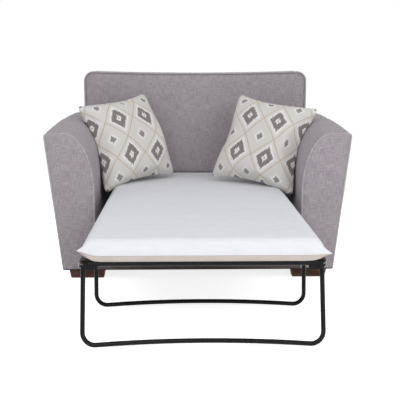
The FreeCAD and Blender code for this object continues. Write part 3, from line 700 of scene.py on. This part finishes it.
def arm_wrap(side):
    """The cover of one arm: inside, roll, top and outside, tucked under at the base."""
    front = ARM_FACING_Y - COVER_LAP
    rear = ARM_REAR_Y
    stations = np.concatenate([front + EDGE_STEPS[:6], np.linspace(front + 0.05, rear - 0.03, 34),
                               (rear - EDGE_STEPS[:5])[::-1]])
    points = []
    uvs = []
    for y in stations:
        back_share = smooth_step((y - front) / (rear - front))
        radius = ARM_EDGE_RADIUS + (ARM_REAR_EDGE_RADIUS - ARM_EDGE_RADIUS) * back_share
        outline, lengths = arm_outline(arm_rise(y), radius)
        edge = min(y - front, (rear - y) * 2)
        turn_in = max(0.0, 1 - (rear - y) / ARM_REAR_ROUND)
        sink = valley(edge) + ARM_REAR_SINK * (1 - math.sqrt(max(0.0, 1 - turn_in ** 2)))
        whole = lengths[-1]
        for base, normal, at in zip(outline, outward(outline), lengths):
            tuck = ARM_TUCK * (math.exp(-at / TUCK_REACH) + math.exp(-(whole - at) / TUCK_REACH))
            x, z = base - normal * (sink + tuck)
            soft = 0.0016 * ripple(x, y, z, 0.10, 3.1 + side) + 0.0007 * ripple(x, y, z, 0.035, 9.2)
            fill = ARM_FILL * math.sin(math.pi * min(1.0, max(0.0, (at / whole - 0.30) / 0.45)))
            x, z = np.array((x, z)) + normal * (soft + fill * settled(edge, 0.03) - ARM_SET_IN)
            points.append((side * x, y, max(z, BASE_Z)))
            uvs.append((at, y))
    faces = grid_faces(len(stations), SECTION_POINTS)
    for ring, order in ((points[-SECTION_POINTS:], -1), (points[:SECTION_POINTS], 1)):
        faces.append(tuple(range(len(points), len(points) + SECTION_POINTS))[::order])
        points += ring
        uvs += [(p[0], p[2]) for p in ring]
    return points, turned(faces) if side < 0 else faces, uvs


def arm_facing(side):
    """The padded panel on an arm's front, swollen between its piped edges."""
    outline = arm_outline()[0]
    closed = np.concatenate([outline, (outline[:1] + outline[-1:]) / 2])
    spine_z = np.clip(closed[:, 1], BASE_Z + SPINE_FOOT, ARM_FRONT_Z - SPINE_HEAD)
    spine_x = (ARM_INNER_X + ARM_OUTER_X) / 2 + SPINE_OUT
    spine_x = spine_x + (spine_z - (BASE_Z + ARM_FRONT_Z) / 2) * SPINE_LEAN
    spine = np.stack([spine_x, spine_z], axis=1)
    reach = np.linalg.norm(spine - closed, axis=1)[:, None]
    rings = [(closed, ARM_FACING_Y)]
    for inset in FACING_INSETS:
        depth = PIPING_SET_BACK * math.exp(-inset / 0.007) - FACING_SWELL * settled(inset, 0.03)
        step = np.minimum(inset, reach * 0.98)
        rings.append((closed + (spine - closed) / reach * step, ARM_FRONT_Y + depth))
    points = []
    uvs = []
    for ring, depth in rings:
        for x, z in ring:
            points.append((side * x, depth + 0.0012 * ripple(x, 0.0, z, 0.09, 5.0 + side), max(z, BASE_Z)))
            uvs.append((x, z))
    points += [(side * x, ARM_FRONT_Y - FACING_SWELL - 0.0002, z) for x, z in spine]
    uvs += [(x, z) for x, z in spine]
    faces = [(a, d, c, b) for a, b, c, d in ring_faces(len(rings) + 1, len(closed))]
    return points, turned(faces) if side < 0 else faces, uvs


def beside(outline, y, stand, side=1):
    """A path along a flat outline at one depth, a little outside it."""
    return [(side * x, y, z) for x, z in outline + outward(outline) * stand]


def make_arms():
    covers = {}
    for name, side in SIDES:
        wrap = mesh_piece(name + "_arm_cover", *arm_wrap(side), [UPHOLSTERY])
        face_away(wrap, (side * (ARM_INNER_X + ARM_OUTER_X) / 2, (ARM_FRONT_Y + ARM_REAR_Y) / 2, 0.35))
        facing = mesh_piece(name + "_arm_facing", *arm_facing(side), [UPHOLSTERY])
        face_away(facing, (side * 0.55, ARM_FACING_Y, 0.35))
        path = beside(arm_outline()[0], ARM_FRONT_Y + PIPING_SET_BACK, 0.0005, side)
        piping = tube_piece(name + "_arm_piping", path, PIPING_RADIUS, PAINTED_HIGHLIGHT_PIPING)
        cover(wrap, name + "_arm_inner_pad", name + "_arm_outer_panel", name + "_arm_rear_board")
        cover(facing, name + "_arm_front_facing")
        cover(piping)
        covers[name] = wrap
    return covers


# Back
def top_at(x, inset=0.0):
    """Height of the back's upper outline at x."""
    half = BACK_HALF - inset
    top = BACK_TOP - inset
    r = BACK_CORNER_RADIUS - inset
    x = min(abs(x), half)
    if x <= half - r:
        share = (x + half - r) / (2 * (half - r))
        return top - BACK_DIP * 4 * share * (1 - share)
    return top - r + math.sqrt(max(0.0, r * r - (x - half + r) ** 2))


def back_outline(low=BASE_Z):
    """From the left bottom, up, over the dipped top and down to the right bottom."""
    half = BACK_HALF
    flat = half - BACK_CORNER_RADIUS
    corners = [np.array(c) for c in ((-half, low), (-half, BACK_TOP), (half, BACK_TOP), (half, low))]
    left = fillet(corners[1], corners[0], corners[2], BACK_CORNER_RADIUS, 12)
    right = fillet(corners[2], corners[1], corners[3], BACK_CORNER_RADIUS, 12)
    top = [(x, top_at(x)) for x in np.linspace(-flat, flat, 25)[1:-1]]
    return np.array([corners[0], *left, *top, *right, corners[3]])


def edge_distance(x, z, low):
    """Distance from the back's outline or its lower edge, roughly."""
    return max(0.0, min(BACK_HALF - abs(x), top_at(x) - z, z - low))


def panel_steps(half, count):
    inner = np.linspace(-half + 0.065, half - 0.065, count)
    return np.concatenate([-half + EDGE_STEPS, inner, (half - EDGE_STEPS)[::-1]])


PANEL_COLUMNS = panel_steps(BACK_HALF - PANEL_INSET, 60)
PANEL_SHARES = np.clip(panel_steps(0.5, 40) + 0.5, 0, 1)


def flat_panel(low, facing_y, sign, crown):
    """A padded panel between the back's outline and a lower edge. sign -1 faces forward."""
    points = []
    for x in PANEL_COLUMNS:
        for z in low + (top_at(x, PANEL_INSET) - low) * PANEL_SHARES:
            edge = edge_distance(x, z, low - PANEL_INSET)
            swell = crown(x) * settled(edge, 0.05)
            soft = 0.0022 * ripple(x, 0.0, z, 0.16, 1.7) + 0.0008 * ripple(x, 0.0, z, 0.05, 4.0)
            y = facing_y + sign * (swell - PANEL_VALLEY * valley(edge) + soft * settled(edge, 0.03))
            points.append((x, y, z))
    faces = grid_faces(len(PANEL_COLUMNS), len(PANEL_SHARES))
    return points, turned(faces) if sign > 0 else faces, [(x, z) for x, y, z in points]


def front_crown(x):
    plan = max(0.0, 1 - (x / ARM_INNER_X) ** 2)
    return (BACK_CROWN - PANEL_CROWN) * plan ** 0.8 + PANEL_CROWN


def inside_back():
    """The back's front panel, turned under along its lower edge."""
    low = PAD_BOTTOM_Z
    points, faces, uvs = flat_panel(low, BACK_FACE_Y, -1, front_crown)
    rows = len(PANEL_SHARES)
    start = len(points)
    depths = (0.004, 0.010, 0.022, PAD_REAR_Y - BACK_FACE_Y)
    for x, y, z in points[::rows]:
        for depth in depths:
            points.append((x, y + depth, low - 0.003 * settled(depth, 0.006)))
            uvs.append((x, low - depth))
    for i in range(len(PANEL_COLUMNS) - 1):
        under = start + i * len(depths)
        faces.append(((i + 1) * rows, under + len(depths), under, i * rows))
    return points, faces + turned(grid_faces(len(PANEL_COLUMNS), len(depths), start)), uvs


def back_band():
    """Boxing round the sides and top, between the two piped edges."""
    outline = resample(back_outline(), 0.012)
    front = BACK_FACE_Y + BAND_SET_IN
    rear = BACK_REAR_Y - BAND_SET_IN
    stations = np.concatenate([front + BAND_STEPS, np.linspace(front + 0.045, rear - 0.045, 8),
                               (rear - BAND_STEPS)[::-1]])

    def stand(y, base):
        return 0.0012 * ripple(base[0], y, base[1], 0.08, 8.0) - valley(min(y - front, rear - y))

    rows = swept(outline, stations, stand)
    points = [(x, y, max(z, BASE_Z)) for y, x, z, at in rows]
    return points, grid_faces(len(stations), len(outline)), [(at, y) for y, x, z, at in rows]


def make_back():
    inside = mesh_piece("inside_back", *inside_back(), [UPHOLSTERY])
    face_away(inside, (0, BACK_REAR_Y, 0.65))
    cover(inside, "back_pad")
    band = mesh_piece("back_boxing", *back_band(), [UPHOLSTERY])
    face_away(band, (0, (BACK_FACE_Y + BACK_REAR_Y) / 2, 0.4))
    cover(band, "back_border")
    panel = flat_panel(BASE_Z, BACK_REAR_Y - 0.002, 1, lambda x: 0.003)
    outside = mesh_piece("outside_back", *panel, [UPHOLSTERY])
    face_away(outside, (0, BACK_FACE_Y, 0.45))
    cover(outside, "outside_back_panel")
    for name, y, low in (("back_front_piping", BACK_FACE_Y, ARM_REAR_Z - 0.03),
                         ("back_rear_piping", BACK_REAR_Y - 0.004, BASE_Z)):
        cover(tube_piece(name, beside(back_outline(low), y, 0.0004), PIPING_RADIUS, PAINTED_HIGHLIGHT_PIPING))
    return inside


# Front rail
def make_front_rail():
    low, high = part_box("front_rail_cover")
    corners = [np.array(c) for c in ((low.y, low.z), (low.y, high.z), (high.y, high.z), (high.y, low.z))]
    section = [corners[0], *fillet(corners[1], corners[0], corners[2], RAIL_CORNER),
               *fillet(corners[2], corners[1], corners[3], RAIL_CORNER), corners[3]]
    section = resample(np.array(section), 0.006)
    columns = np.linspace(low.x + 0.001, high.x - 0.001, 90)
    rows = swept(section, columns, lambda x, base: 0.0012 * ripple(x, *base, 0.07, 2.0) - 0.0008)
    points = [(x, y, max(z, low.z)) for x, y, z, at in rows]
    faces = grid_faces(len(columns), len(section))
    uvs = [(x, at) for x, y, z, at in rows]
    # The dark linen on the rail is painted shade under the deck.
    piece = mesh_piece("front_rail_wrap", points, faces, uvs, [RAIL_PAINTED_SHADE_CLOTH])
    face_away(piece, (0, (low.y + high.y) / 2, low.z))
    cover(piece, "front_rail_cover")


# Mattress
def from_end(y):
    return min(y - MATTRESS_LOW.y, MATTRESS_HIGH.y - y)


def ear_share(y):
    """1 at an end of the mattress, falling to 0 a short way in."""
    return 1 - smooth_step(from_end(y) / EAR_REACH)


def body_half_width(y):
    """Half width of the mattress body, a little rounder at its ends."""
    return MATTRESS_HALF - MATTRESS_SIDE_IN - MATTRESS_END_IN * ear_share(y)


def rounded(share):
    """A quarter circle's height over its run."""
    return math.sqrt(max(0.0, 1 - (1 - share) ** 2))


def mattress_points(x_share, y):
    """Upper and lower point of the mattress at a share of its half width."""
    half = body_half_width(y)
    ear = ear_share(y)
    front = y < 0
    low = MATTRESS_LOW.z
    hinge = min(abs(y - FIRST_HINGE_Y), abs(y - SECOND_HINGE_Y))
    arch = HINGE_ARCH * (1 - smooth_step(hinge / HINGE_ARCH_REACH))
    x = x_share * half
    from_side = half - abs(x)
    end = min(1.0, (y - MATTRESS_LOW.y) / FOOT_ROLL, (MATTRESS_HIGH.y - y) / HEAD_ROLL)
    share = rounded(min(1.0, from_side / SIDE_ROLL)) * rounded(end)
    near_corner = math.exp(-((from_side / EAR_WIDTH) ** 2)) * ear
    lift = RIGHT_EAR_LIFT if x_share > 0 and front else LEFT_EAR_LIFT
    seam = low + BORDER_HEIGHT + lift * near_corner
    top_z = seam + (MATTRESS_HIGH.z - seam) * share
    round_over = FOOT_ROUND if front else HEAD_ROUND
    under = min(1.0, from_side / SIDE_ROUND) ** 0.5 * min(1.0, from_end(y) / round_over) ** 0.5
    hang = FRONT_OVERHANG * math.exp(-(((y - MATTRESS_LOW.y - OVERHANG_REACH) / OVERHANG_REACH) ** 2))
    low_here = low - hang + (lift + EAR_UNDERCUT) * near_corner
    low_z = seam + (low_here + arch - seam) * under
    reach = MATTRESS_HALF - half + (RIGHT_EAR_MORE if x_share > 0 and front else 0.0)
    flare = math.copysign(reach * ear ** 1.5 * math.exp(-from_side / EAR_DRAW), x_share)
    return x + flare * (1 - share) ** 1.6, top_z, x + flare * (1 - under * 0.5) ** 1.6, low_z


def mattress_part(y0, y1):
    """One length of mattress from y0 to y1, open where it meets the other one."""
    if y0 < SPLIT_Y:
        first, last = y0 + END_STEPS, np.array((y1,))
    else:
        first, last = np.array((y0,)), (y1 - END_STEPS)[::-1]
    count = int((last[0] - first[-1]) / MATTRESS_STEP)
    stations = np.concatenate([first, np.linspace(first[-1], last[0], count + 2)[1:-1], last])
    side = SIDE_STEPS / MATTRESS_HALF
    inner = 1 - SIDE_BAND / MATTRESS_HALF
    shares = np.concatenate([-1 + side, np.linspace(-inner, inner, 60), (1 - side)[::-1]])
    top_points = []
    low_points = []
    for y in stations:
        for share in shares:
            x, top_z, low_x, low_z = mattress_points(share, y)
            edge = min(body_half_width(y) * (1 - abs(share)), from_end(y))
            wave = 0.0016 * ripple(x * 0.35, y, 0.0, 0.035, 6.0)
            wave += 0.0022 * ripple(x * 0.6, y, 0.0, 0.13, 2.0)
            top_points.append((x, y, top_z + (wave - 0.0015) * settled(max(0.0, edge), 0.02)))
            low_points.append((low_x, y, low_z))
    points = top_points + low_points
    top = turned(grid_faces(len(stations), len(shares)))
    under = grid_faces(len(stations), len(shares), len(top_points))
    uvs = [(x, y + z) for x, y, z in points]
    return points, top + under, uvs, [TICKING, BORDER], [0] * len(top) + [1] * len(under)


def seam_path(y0, y1):
    """Line of the seam from the split, round one end and back to the split."""
    foot = y0 < SPLIT_Y
    end, split = (y0, y1) if foot else (y1, y0)
    inward = 1 if foot else -1
    along = end + SEAM_STEPS * inward
    run = np.concatenate([np.linspace(split, along[-1], 40)[:-1], along[::-1]])
    sides = []
    for side in (-1, 1):
        line = []
        for y in run:
            x, z = mattress_points(side, y)[:2]
            line.append((x + side * SEAM_STAND, y, z))
        sides.append(line)
    across = []
    for share in np.linspace(-0.97, 0.97, 60):
        x, z = mattress_points(share, end)[:2]
        across.append((x, end - inward * SEAM_STAND, z))
    return sides[0] + across + sides[1][::-1]


def weld(piece, distance=0.0002):
    work = bmesh.new()
    work.from_mesh(piece.data)
    bmesh.ops.remove_doubles(work, verts=work.verts, dist=distance)
    work.to_mesh(piece.data)
    work.free()


def make_mattress():
    spans = (
        ("mattress_head_half", SPLIT_Y, MATTRESS_HIGH.y, "main_deck", "middle_deck", FIRST_HINGE_Y,
         ("mattress_main", "mattress_rear_fold", "mattress_middle")),
        ("mattress_foot_half", MATTRESS_LOW.y, SPLIT_Y, "middle_deck", "foot_deck", SECOND_HINGE_Y,
         ("mattress_foot", "mattress_front_fold")),
    )
    halves = []
    for name, y0, y1, first, second, hinge_y, nodes in spans:
        piece = mesh_piece(name, *mattress_part(y0, y1))
        weld(piece)
        face_away(piece, (0, (y0 + y1) / 2, (MATTRESS_LOW.z + MATTRESS_HIGH.z) / 2))
        piping = tube_piece(name + "_piping", seam_path(y0, y1), MATTRESS_PIPING, TICKING, 8, 0.010)
        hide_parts(*nodes)
        for part in (piece, piping):
            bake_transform(part)
        halves.append(piece)
    return halves


# Slings, dust cloth and back straps
def make_slings():
    for section in ("main", "middle", "foot"):
        low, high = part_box(section + "_sling")
        size = high - low
        columns = np.linspace(0, 1, 40)
        rows = np.linspace(0, 1, max(6, int(size.y / 0.02)))
        top = [(low.x + size.x * a, low.y + size.y * b, high.z - SLING_SAG * 16 * a * (1 - a) * b * (1 - b))
               for b in rows for a in columns]
        under = [(x, y, z - size.z) for x, y, z in top]
        index = np.arange(len(top)).reshape(len(rows), len(columns))
        rim = np.concatenate([index[0], index[1:, -1], index[-1, -2::-1], index[-2:0:-1, 0]])
        piece = two_layers(section + "_sling_cloth", top, under, len(rows), len(columns), SLING, rim=rim)
        belong(piece, section + "_deck", "woven_webbing", section + "_sling")


def make_dust_cloth():
    low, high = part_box("dust_cover")
    rows = list(np.linspace(low.y, ARM_REAR_Y, 34)) + list(np.linspace(ARM_REAR_Y + 0.001, high.y, 9))
    shares = np.linspace(-1, 1, 50)
    thickness = (high.z - low.z) * 0.8
    top = []
    for y in rows:
        for x in shares * (high.x if y <= ARM_REAR_Y else BACK_HALF):
            top.append((x, y, high.z - CLOTH_GAP - 0.0003 * abs(ripple(x, y, 0.0, 0.06, 3.0))))
    under = [(x, y, z - thickness) for x, y, z in top]
    piece = two_layers("dust_cloth_sheet", top, under, len(rows), len(shares), DUST)
    belong(piece, "sofa_base", "dust_cloth", "dust_cover")


def make_straps():
    low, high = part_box("back_webbing")
    pitch = (high.x - low.x - STRAP_WIDTH) / (STRAP_COUNT - 1)
    rows = np.linspace(low.z, high.z, 40)
    for i in range(STRAP_COUNT):
        x0 = low.x + i * pitch
        columns = np.linspace(x0, x0 + STRAP_WIDTH, 8)
        front = [(x, low.y + STRAP_SET_IN + 0.0002 * abs(ripple(x, 0.0, z, 0.03, i)), z)
                 for z in rows for x in columns]
        behind = [(x, high.y - CLOTH_GAP, z) for x, y, z in front]
        name = "back_strap_" + str(i + 1)
        piece = two_layers(name, front, behind, len(rows), len(columns), STRAP, up=2)
        belong(piece, "sofa_base", "woven_webbing", "back_webbing")


# Scatter cushions
def pillow_case():
    """Two square sheets sewn along their edges, lying almost flat."""
    line = np.linspace(-0.5, 0.5, CUSHION_CELLS + 1)
    count = len(line)
    points = []
    for layer, run in ((1, line), (-1, line[1:-1])):
        for a in run:
            for b in run:
                lift = CUSHION_LOFT * (1 - (2 * a) ** 4) * (1 - (2 * b) ** 4)
                soft = 0.003 * ripple(a, b, layer, 0.22, 4.0) if lift else 0.0
                points.append((a * CUSHION_SHEET, b * CUSHION_SHEET, layer * (lift + soft)))
    top = np.arange(count ** 2).reshape(count, count)
    low = top.copy()
    low[1:-1, 1:-1] = np.arange(count ** 2, len(points)).reshape(count - 2, count - 2)
    faces = []
    for sheet, order in ((top, 1), (low, -1)):
        corners = np.stack([sheet[:-1, :-1], sheet[1:, :-1], sheet[1:, 1:], sheet[:-1, 1:]], axis=-1)
        faces += corners.reshape(-1, 4)[:, ::order].tolist()
    return points, faces, [(x, y) for x, y, z in points]


def coordinates(piece):
    flat = np.zeros(len(piece.data.vertices) * 3)
    piece.data.vertices.foreach_get("co", flat)
    return flat.reshape(-1, 3)


def move_to(piece, coords):
    piece.data.vertices.foreach_set("co", coords.ravel())
    piece.data.update()


def blown_cushion(name):
    """The pillow case, blown up as cloth under pressure."""
    piece = mesh_piece(name, *pillow_case(), [PRINT])
    scene = bpy.context.scene
    cloth = piece.modifiers.new("filling", "CLOTH")
    for key, value in CUSHION_CLOTH.items():
        setattr(cloth.settings, key, value)
    cloth.settings.effector_weights.gravity = 0.0
    cloth.point_cache.frame_start = 1
    cloth.point_cache.frame_end = CUSHION_FRAMES
    for step in range(1, CUSHION_FRAMES + 1):
        scene.frame_set(step)
    done = piece.evaluated_get(bpy.context.evaluated_depsgraph_get())
    blown = coordinates(done)
    piece.modifiers.remove(cloth)
    scene.frame_set(1)
    move_to(piece, blown)
    return piece


def relax(piece, rounds, share=0.5):
    """Even out creases by moving each point towards its neighbours' middle."""
    coords = coordinates(piece)
    edges = np.zeros(len(piece.data.edges) * 2, np.int64)
    piece.data.edges.foreach_get("vertices", edges)
    edges = edges.reshape(-1, 2)
    count = np.bincount(edges.ravel(), minlength=len(coords))[:, None]
    for _ in range(rounds):
        total = np.zeros_like(coords)
        np.add.at(total, edges[:, 0], coords[edges[:, 1]])
        np.add.at(total, edges[:, 1], coords[edges[:, 0]])
        coords += (total / count - coords) * share
    move_to(piece, coords)


def shape_seam(piece):
    """Draw the sewn edge in to a smooth arc between blunt corners, and carry the cloth with it."""
    last = CUSHION_CELLS
    count = last + 1
    coords = coordinates(piece)
    front = coords[:count * count].reshape(count, count, 3)
    behind = coords[count * count:].reshape(count - 2, count - 2, 3)
    half = (front[..., 0].max() - front[..., 0].min()) / 2
    side = np.linspace(-1, 1, count)
    draw = (1 - side ** 2) ** SEAM_BOW
    forth = np.arange(last)
    back = np.arange(last, 0, -1)
    near = np.zeros(last, int)
    far = np.full(last, last)
    i = np.concatenate([forth, far, back, near])
    j = np.concatenate([near, forth, far, back])
    across = side[i] * (1 - SEAM_DRAW_SIDES * draw[j]) * half
    upward = side[j] * (1 - SEAM_DRAW_ENDS * draw[i]) * half
    target = np.stack([across, upward, front[i, j, 2] * SEAM_FLATTEN], axis=1)
    for _ in range(SEAM_ROUNDS):
        middle = (np.roll(target, 1, axis=0) + np.roll(target, -1, axis=0)) / 2
        target += (middle - target) * 0.7
    shift = np.zeros((count, count, 3))
    shift[i, j] = target - front[i, j]
    a = np.linspace(0, 1, count)[:, None, None]
    b = np.linspace(0, 1, count)[None, :, None]
    blend = (1 - b) * shift[:, :1] + b * shift[:, -1:] + (1 - a) * shift[:1] + a * shift[-1:]
    blend -= (1 - a) * (1 - b) * shift[0, 0] + a * (1 - b) * shift[-1, 0]
    blend -= (1 - a) * b * shift[0, -1] + a * b * shift[-1, -1]
    front += blend
    behind += blend[1:-1, 1:-1]
    rim = np.zeros(len(coords), bool)
    rim[i * count + j] = True
    for axis, draw_in in ((1, SEAM_DRAW_ENDS), (0, SEAM_DRAW_SIDES)):
        along = np.clip(coords[:, 1 - axis] / half, -1, 1)
        limit = half * (1 - draw_in * (1 - along ** 2) ** SEAM_BOW) - SEAM_SLOPE * np.abs(coords[:, 2])
        inside = np.clip(coords[:, axis], -limit, limit)
        coords[:, axis] = np.where(rim, coords[:, axis], inside)
    move_to(piece, coords)
    relax(piece, 3)
    relaxed = coordinates(piece)
    relaxed[rim] = coords[rim]
    move_to(piece, relaxed)


def node_corners(node):
    """The four tips of a square cushion solid: top left, top right, bottom right, bottom left."""
    points = [v.co.copy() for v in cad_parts[node].data.vertices]
    centre = sum(points, Vector()) / len(points)
    first = max(points, key=lambda p: (p - centre).length)
    third = max(points, key=lambda p: (p - first).length)
    axis = (third - first).normalized()
    second = max(points, key=lambda p: (p - first - axis * (p - first).dot(axis)).length)
    fourth = max(points, key=lambda p: (p - second).length)
    corners = sorted((first, second, third, fourth), key=lambda p: -p.z)
    upper = sorted(corners[:2], key=lambda p: p.x)
    lower = sorted(corners[2:], key=lambda p: p.x)
    return upper[0], upper[1], lower[1], lower[0]


def keep_clear(piece, others, margin, rounds=3):
    """Push a soft piece's points out of its neighbours."""
    trees = [BVHTree.FromObject(other, bpy.context.evaluated_depsgraph_get()) for other in others]
    for _ in range(rounds):
        for vertex in piece.data.vertices:
            for tree in trees:
                place, normal = tree.find_nearest(vertex.co, CLEAR_SEARCH)[:2]
                if place is not None and (vertex.co - place).dot(normal) < margin:
                    vertex.co = place + normal * margin
    piece.data.update()


def make_cushion(side, outer, others):
    node = side + "_scatter_cushion"
    top_left, top_right, low_right, low_left = node_corners(node)
    across = ((top_right - top_left) + (low_right - low_left)) / 2
    upward = ((top_left - low_left) + (top_right - low_right)) / 2
    across_axis = across.normalized()
    up_axis = (upward - across_axis * upward.dot(across_axis)).normalized()
    turn = Matrix((across_axis, up_axis, across_axis.cross(up_axis))).transposed()
    centre = (top_left + top_right + low_right + low_left) / 4
    piece = blown_cushion(side + "_cushion")
    relax(piece, CUSHION_SMOOTHING)
    shape_seam(piece)
    coords = [v.co.copy() for v in piece.data.vertices]
    reach = max(c.x for c in coords) - min(c.x for c in coords)
    scale = CUSHION_REACH * (across.length + upward.length) / 2 / reach
    for vertex, co in zip(piece.data.vertices, coords):
        place = centre + turn @ (co * scale)
        for upper, (x, y, z) in ((-1, LOW_TIP_SHIFT), (1, HIGH_TIP_SHIFT)):
            tip = Vector((outer * reach / 2, upper * reach / 2, 0))
            near = math.exp(-((co - tip).length / TIP_REACH) ** 2)
            place += near * Vector((x * outer, y, z))
        vertex.co = place
    keep_clear(piece, others, CUSHION_CLEARANCE)
    smooth = piece.modifiers.new("finer", "SUBSURF")
    smooth.levels = 1
    smooth.render_levels = 1
    belong(piece, side + "_cushion", "cushion_print", node)


# Corner plates with their bolts under the deck's front bar
def stacked(outline, rings, centre, side=1):
    """Points and faces of one outline repeated forward: rings are (width, height, reach forward)."""
    x0, y0, z0 = centre
    points = []
    for across, upright, reach in rings:
        points += [(side * (x0 + x * across), y0 - reach, z0 + z * upright) for x, z in outline]
    return points, ring_faces(len(rings), len(outline)) + end_caps(len(rings), len(outline))


def make_corner_plates():
    low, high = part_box("foot_deck_frame")
    outer = high.x - PLATE_IN
    inner = outer - PLATE_WIDTH
    top = DECK_Z - PLATE_TOP_DROP
    bottom = DECK_Z - PLATE_HEIGHT
    corners = ((outer - PLATE_ROUND, top), (inner + PLATE_ROUND, top),
               (inner + PLATE_LOW_IN, bottom), (outer - PLATE_LOW_IN, bottom))
    outline = []
    for turn, (x, z) in enumerate(corners):
        for angle in np.linspace(turn, turn + 1, 5) * math.pi / 2:
            outline.append((x + PLATE_ROUND * math.cos(angle), z + PLATE_ROUND * math.sin(angle)))
    x, z = np.mean(outline, axis=0)
    outline = [(px - x, pz - z) for px, pz in outline]
    turns = np.arange(BOLT_SIDES) * 2 * math.pi / BOLT_SIDES
    head = [(BOLT_RADIUS * math.cos(angle), BOLT_RADIUS * math.sin(angle)) for angle in turns]
    for name, side in SIDES:
        shape = stacked(outline, PLATE_RINGS, (x, low.y + PLATE_SINK, z), side)
        plate = mesh_piece(name + "_corner_plate", *shape, None, [BLACK], smooth=False)
        face_away(plate, (side * x, low.y, z))
        belong(plate, "foot_deck", "black_steel")
        for k, place in enumerate(BOLT_PLACES):
            centre = (side * (outer - place), low.y - BOLT_OUT, DECK_Z - PLATE_HEIGHT / 2 - BOLT_DROP)
            shape = stacked(head, BOLT_RINGS, centre)
            bolt = mesh_piece(name + "_corner_bolt_" + str(k + 1), *shape, None, [BLACK])
            face_away(bolt, centre)
            belong(bolt, "foot_deck", "black_steel")


# Camera, floor, world and lamps
def aimed(name, data, place, aim):
    """Put a camera or lamp in its place, looking along a direction."""
    piece = bpy.data.objects.new(name, data)
    piece.location = place
    piece.rotation_mode = "QUATERNION"
    piece.rotation_quaternion = aim.to_track_quat("-Z", "Y")
    bpy.context.scene.collection.objects.link(piece)
    return piece


def make_camera():
    data = bpy.data.cameras.new("camera")
    data.lens = LENS_MM
    data.sensor_width = SENSOR_MM
    bpy.context.scene.camera = aimed("camera", data, CAMERA_PLACE, CAMERA_AIM)


def soft_lamp(name, place, aim, size, watts):
    data = bpy.data.lights.new(name, "AREA")
    data.shape = "SQUARE"
    data.size = size
    data.energy = watts
    aimed(name, data, place, Vector(aim) - Vector(place))


def make_floor():
    """A pale floor that fades to white further out."""
    n = Nodes("pale_floor")
    colour = n.mix(n.noise(n.place(), 4.0), *FLOOR_TONES)
    n.set(Base_Color=colour, Roughness=0.9, Specular_IOR_Level=0.1)
    seen, path = n.seen()
    glow = n.light("ShaderNodeEmission", WHITE, n.times(seen, FLOOR_GLOW))
    lit = n.fill(n.add("ShaderNodeAddShader"), {0: n.shader.outputs[0], 1: glow}).outputs[0]
    white = n.light("ShaderNodeEmission", WHITE, 1.0)
    away = n.fill(n.add("ShaderNodeVectorMath", operation="LENGTH"), {0: n.place()}).outputs["Value"]
    share = n.math("MULTIPLY", n.spread(away, *FLOOR_FADE), seen, clamp=True)
    n.link(n.mix_shader(share, lit, white), n.out.inputs["Surface"])
    s = FLOOR_HALF
    points = [(-s, -s, 0), (s, -s, 0), (s, s, 0), (-s, s, 0)]
    mesh_piece("floor", points, [(0, 1, 2, 3)], None, [n.material], smooth=False)


def make_world():
    """Soft light from all round, white where it is seen."""
    world = bpy.data.worlds.new("studio")
    world.use_nodes = True
    tree = Tree(world.node_tree)
    out = tree.add("ShaderNodeOutputWorld")
    light = tree.light("ShaderNodeBackground", WORLD_COLOUR, WORLD_LIGHT)
    white = tree.light("ShaderNodeBackground", WHITE, 1.0)
    seen, path = tree.seen()
    share = tree.math("MAXIMUM", seen, path["Is Transmission Ray"])
    tree.link(tree.mix_shader(share, light, white), out.inputs["Surface"])
    bpy.context.scene.world = world


dress_frame_nodes()
arm_covers = make_arms()
inside_cover = make_back()
make_front_rail()
mattress_halves = make_mattress()
for side, outer in SIDES:
    make_cushion(side, outer, [arm_covers[side], inside_cover, mattress_halves[0]])
make_slings()
make_dust_cloth()
make_straps()
make_corner_plates()
make_camera()
make_floor()
make_world()
soft_lamp("key_lamp", *KEY_LAMP)
soft_lamp("fill_lamp", *FILL_LAMP)
bpy.context.scene.view_settings.view_transform = "Standard"
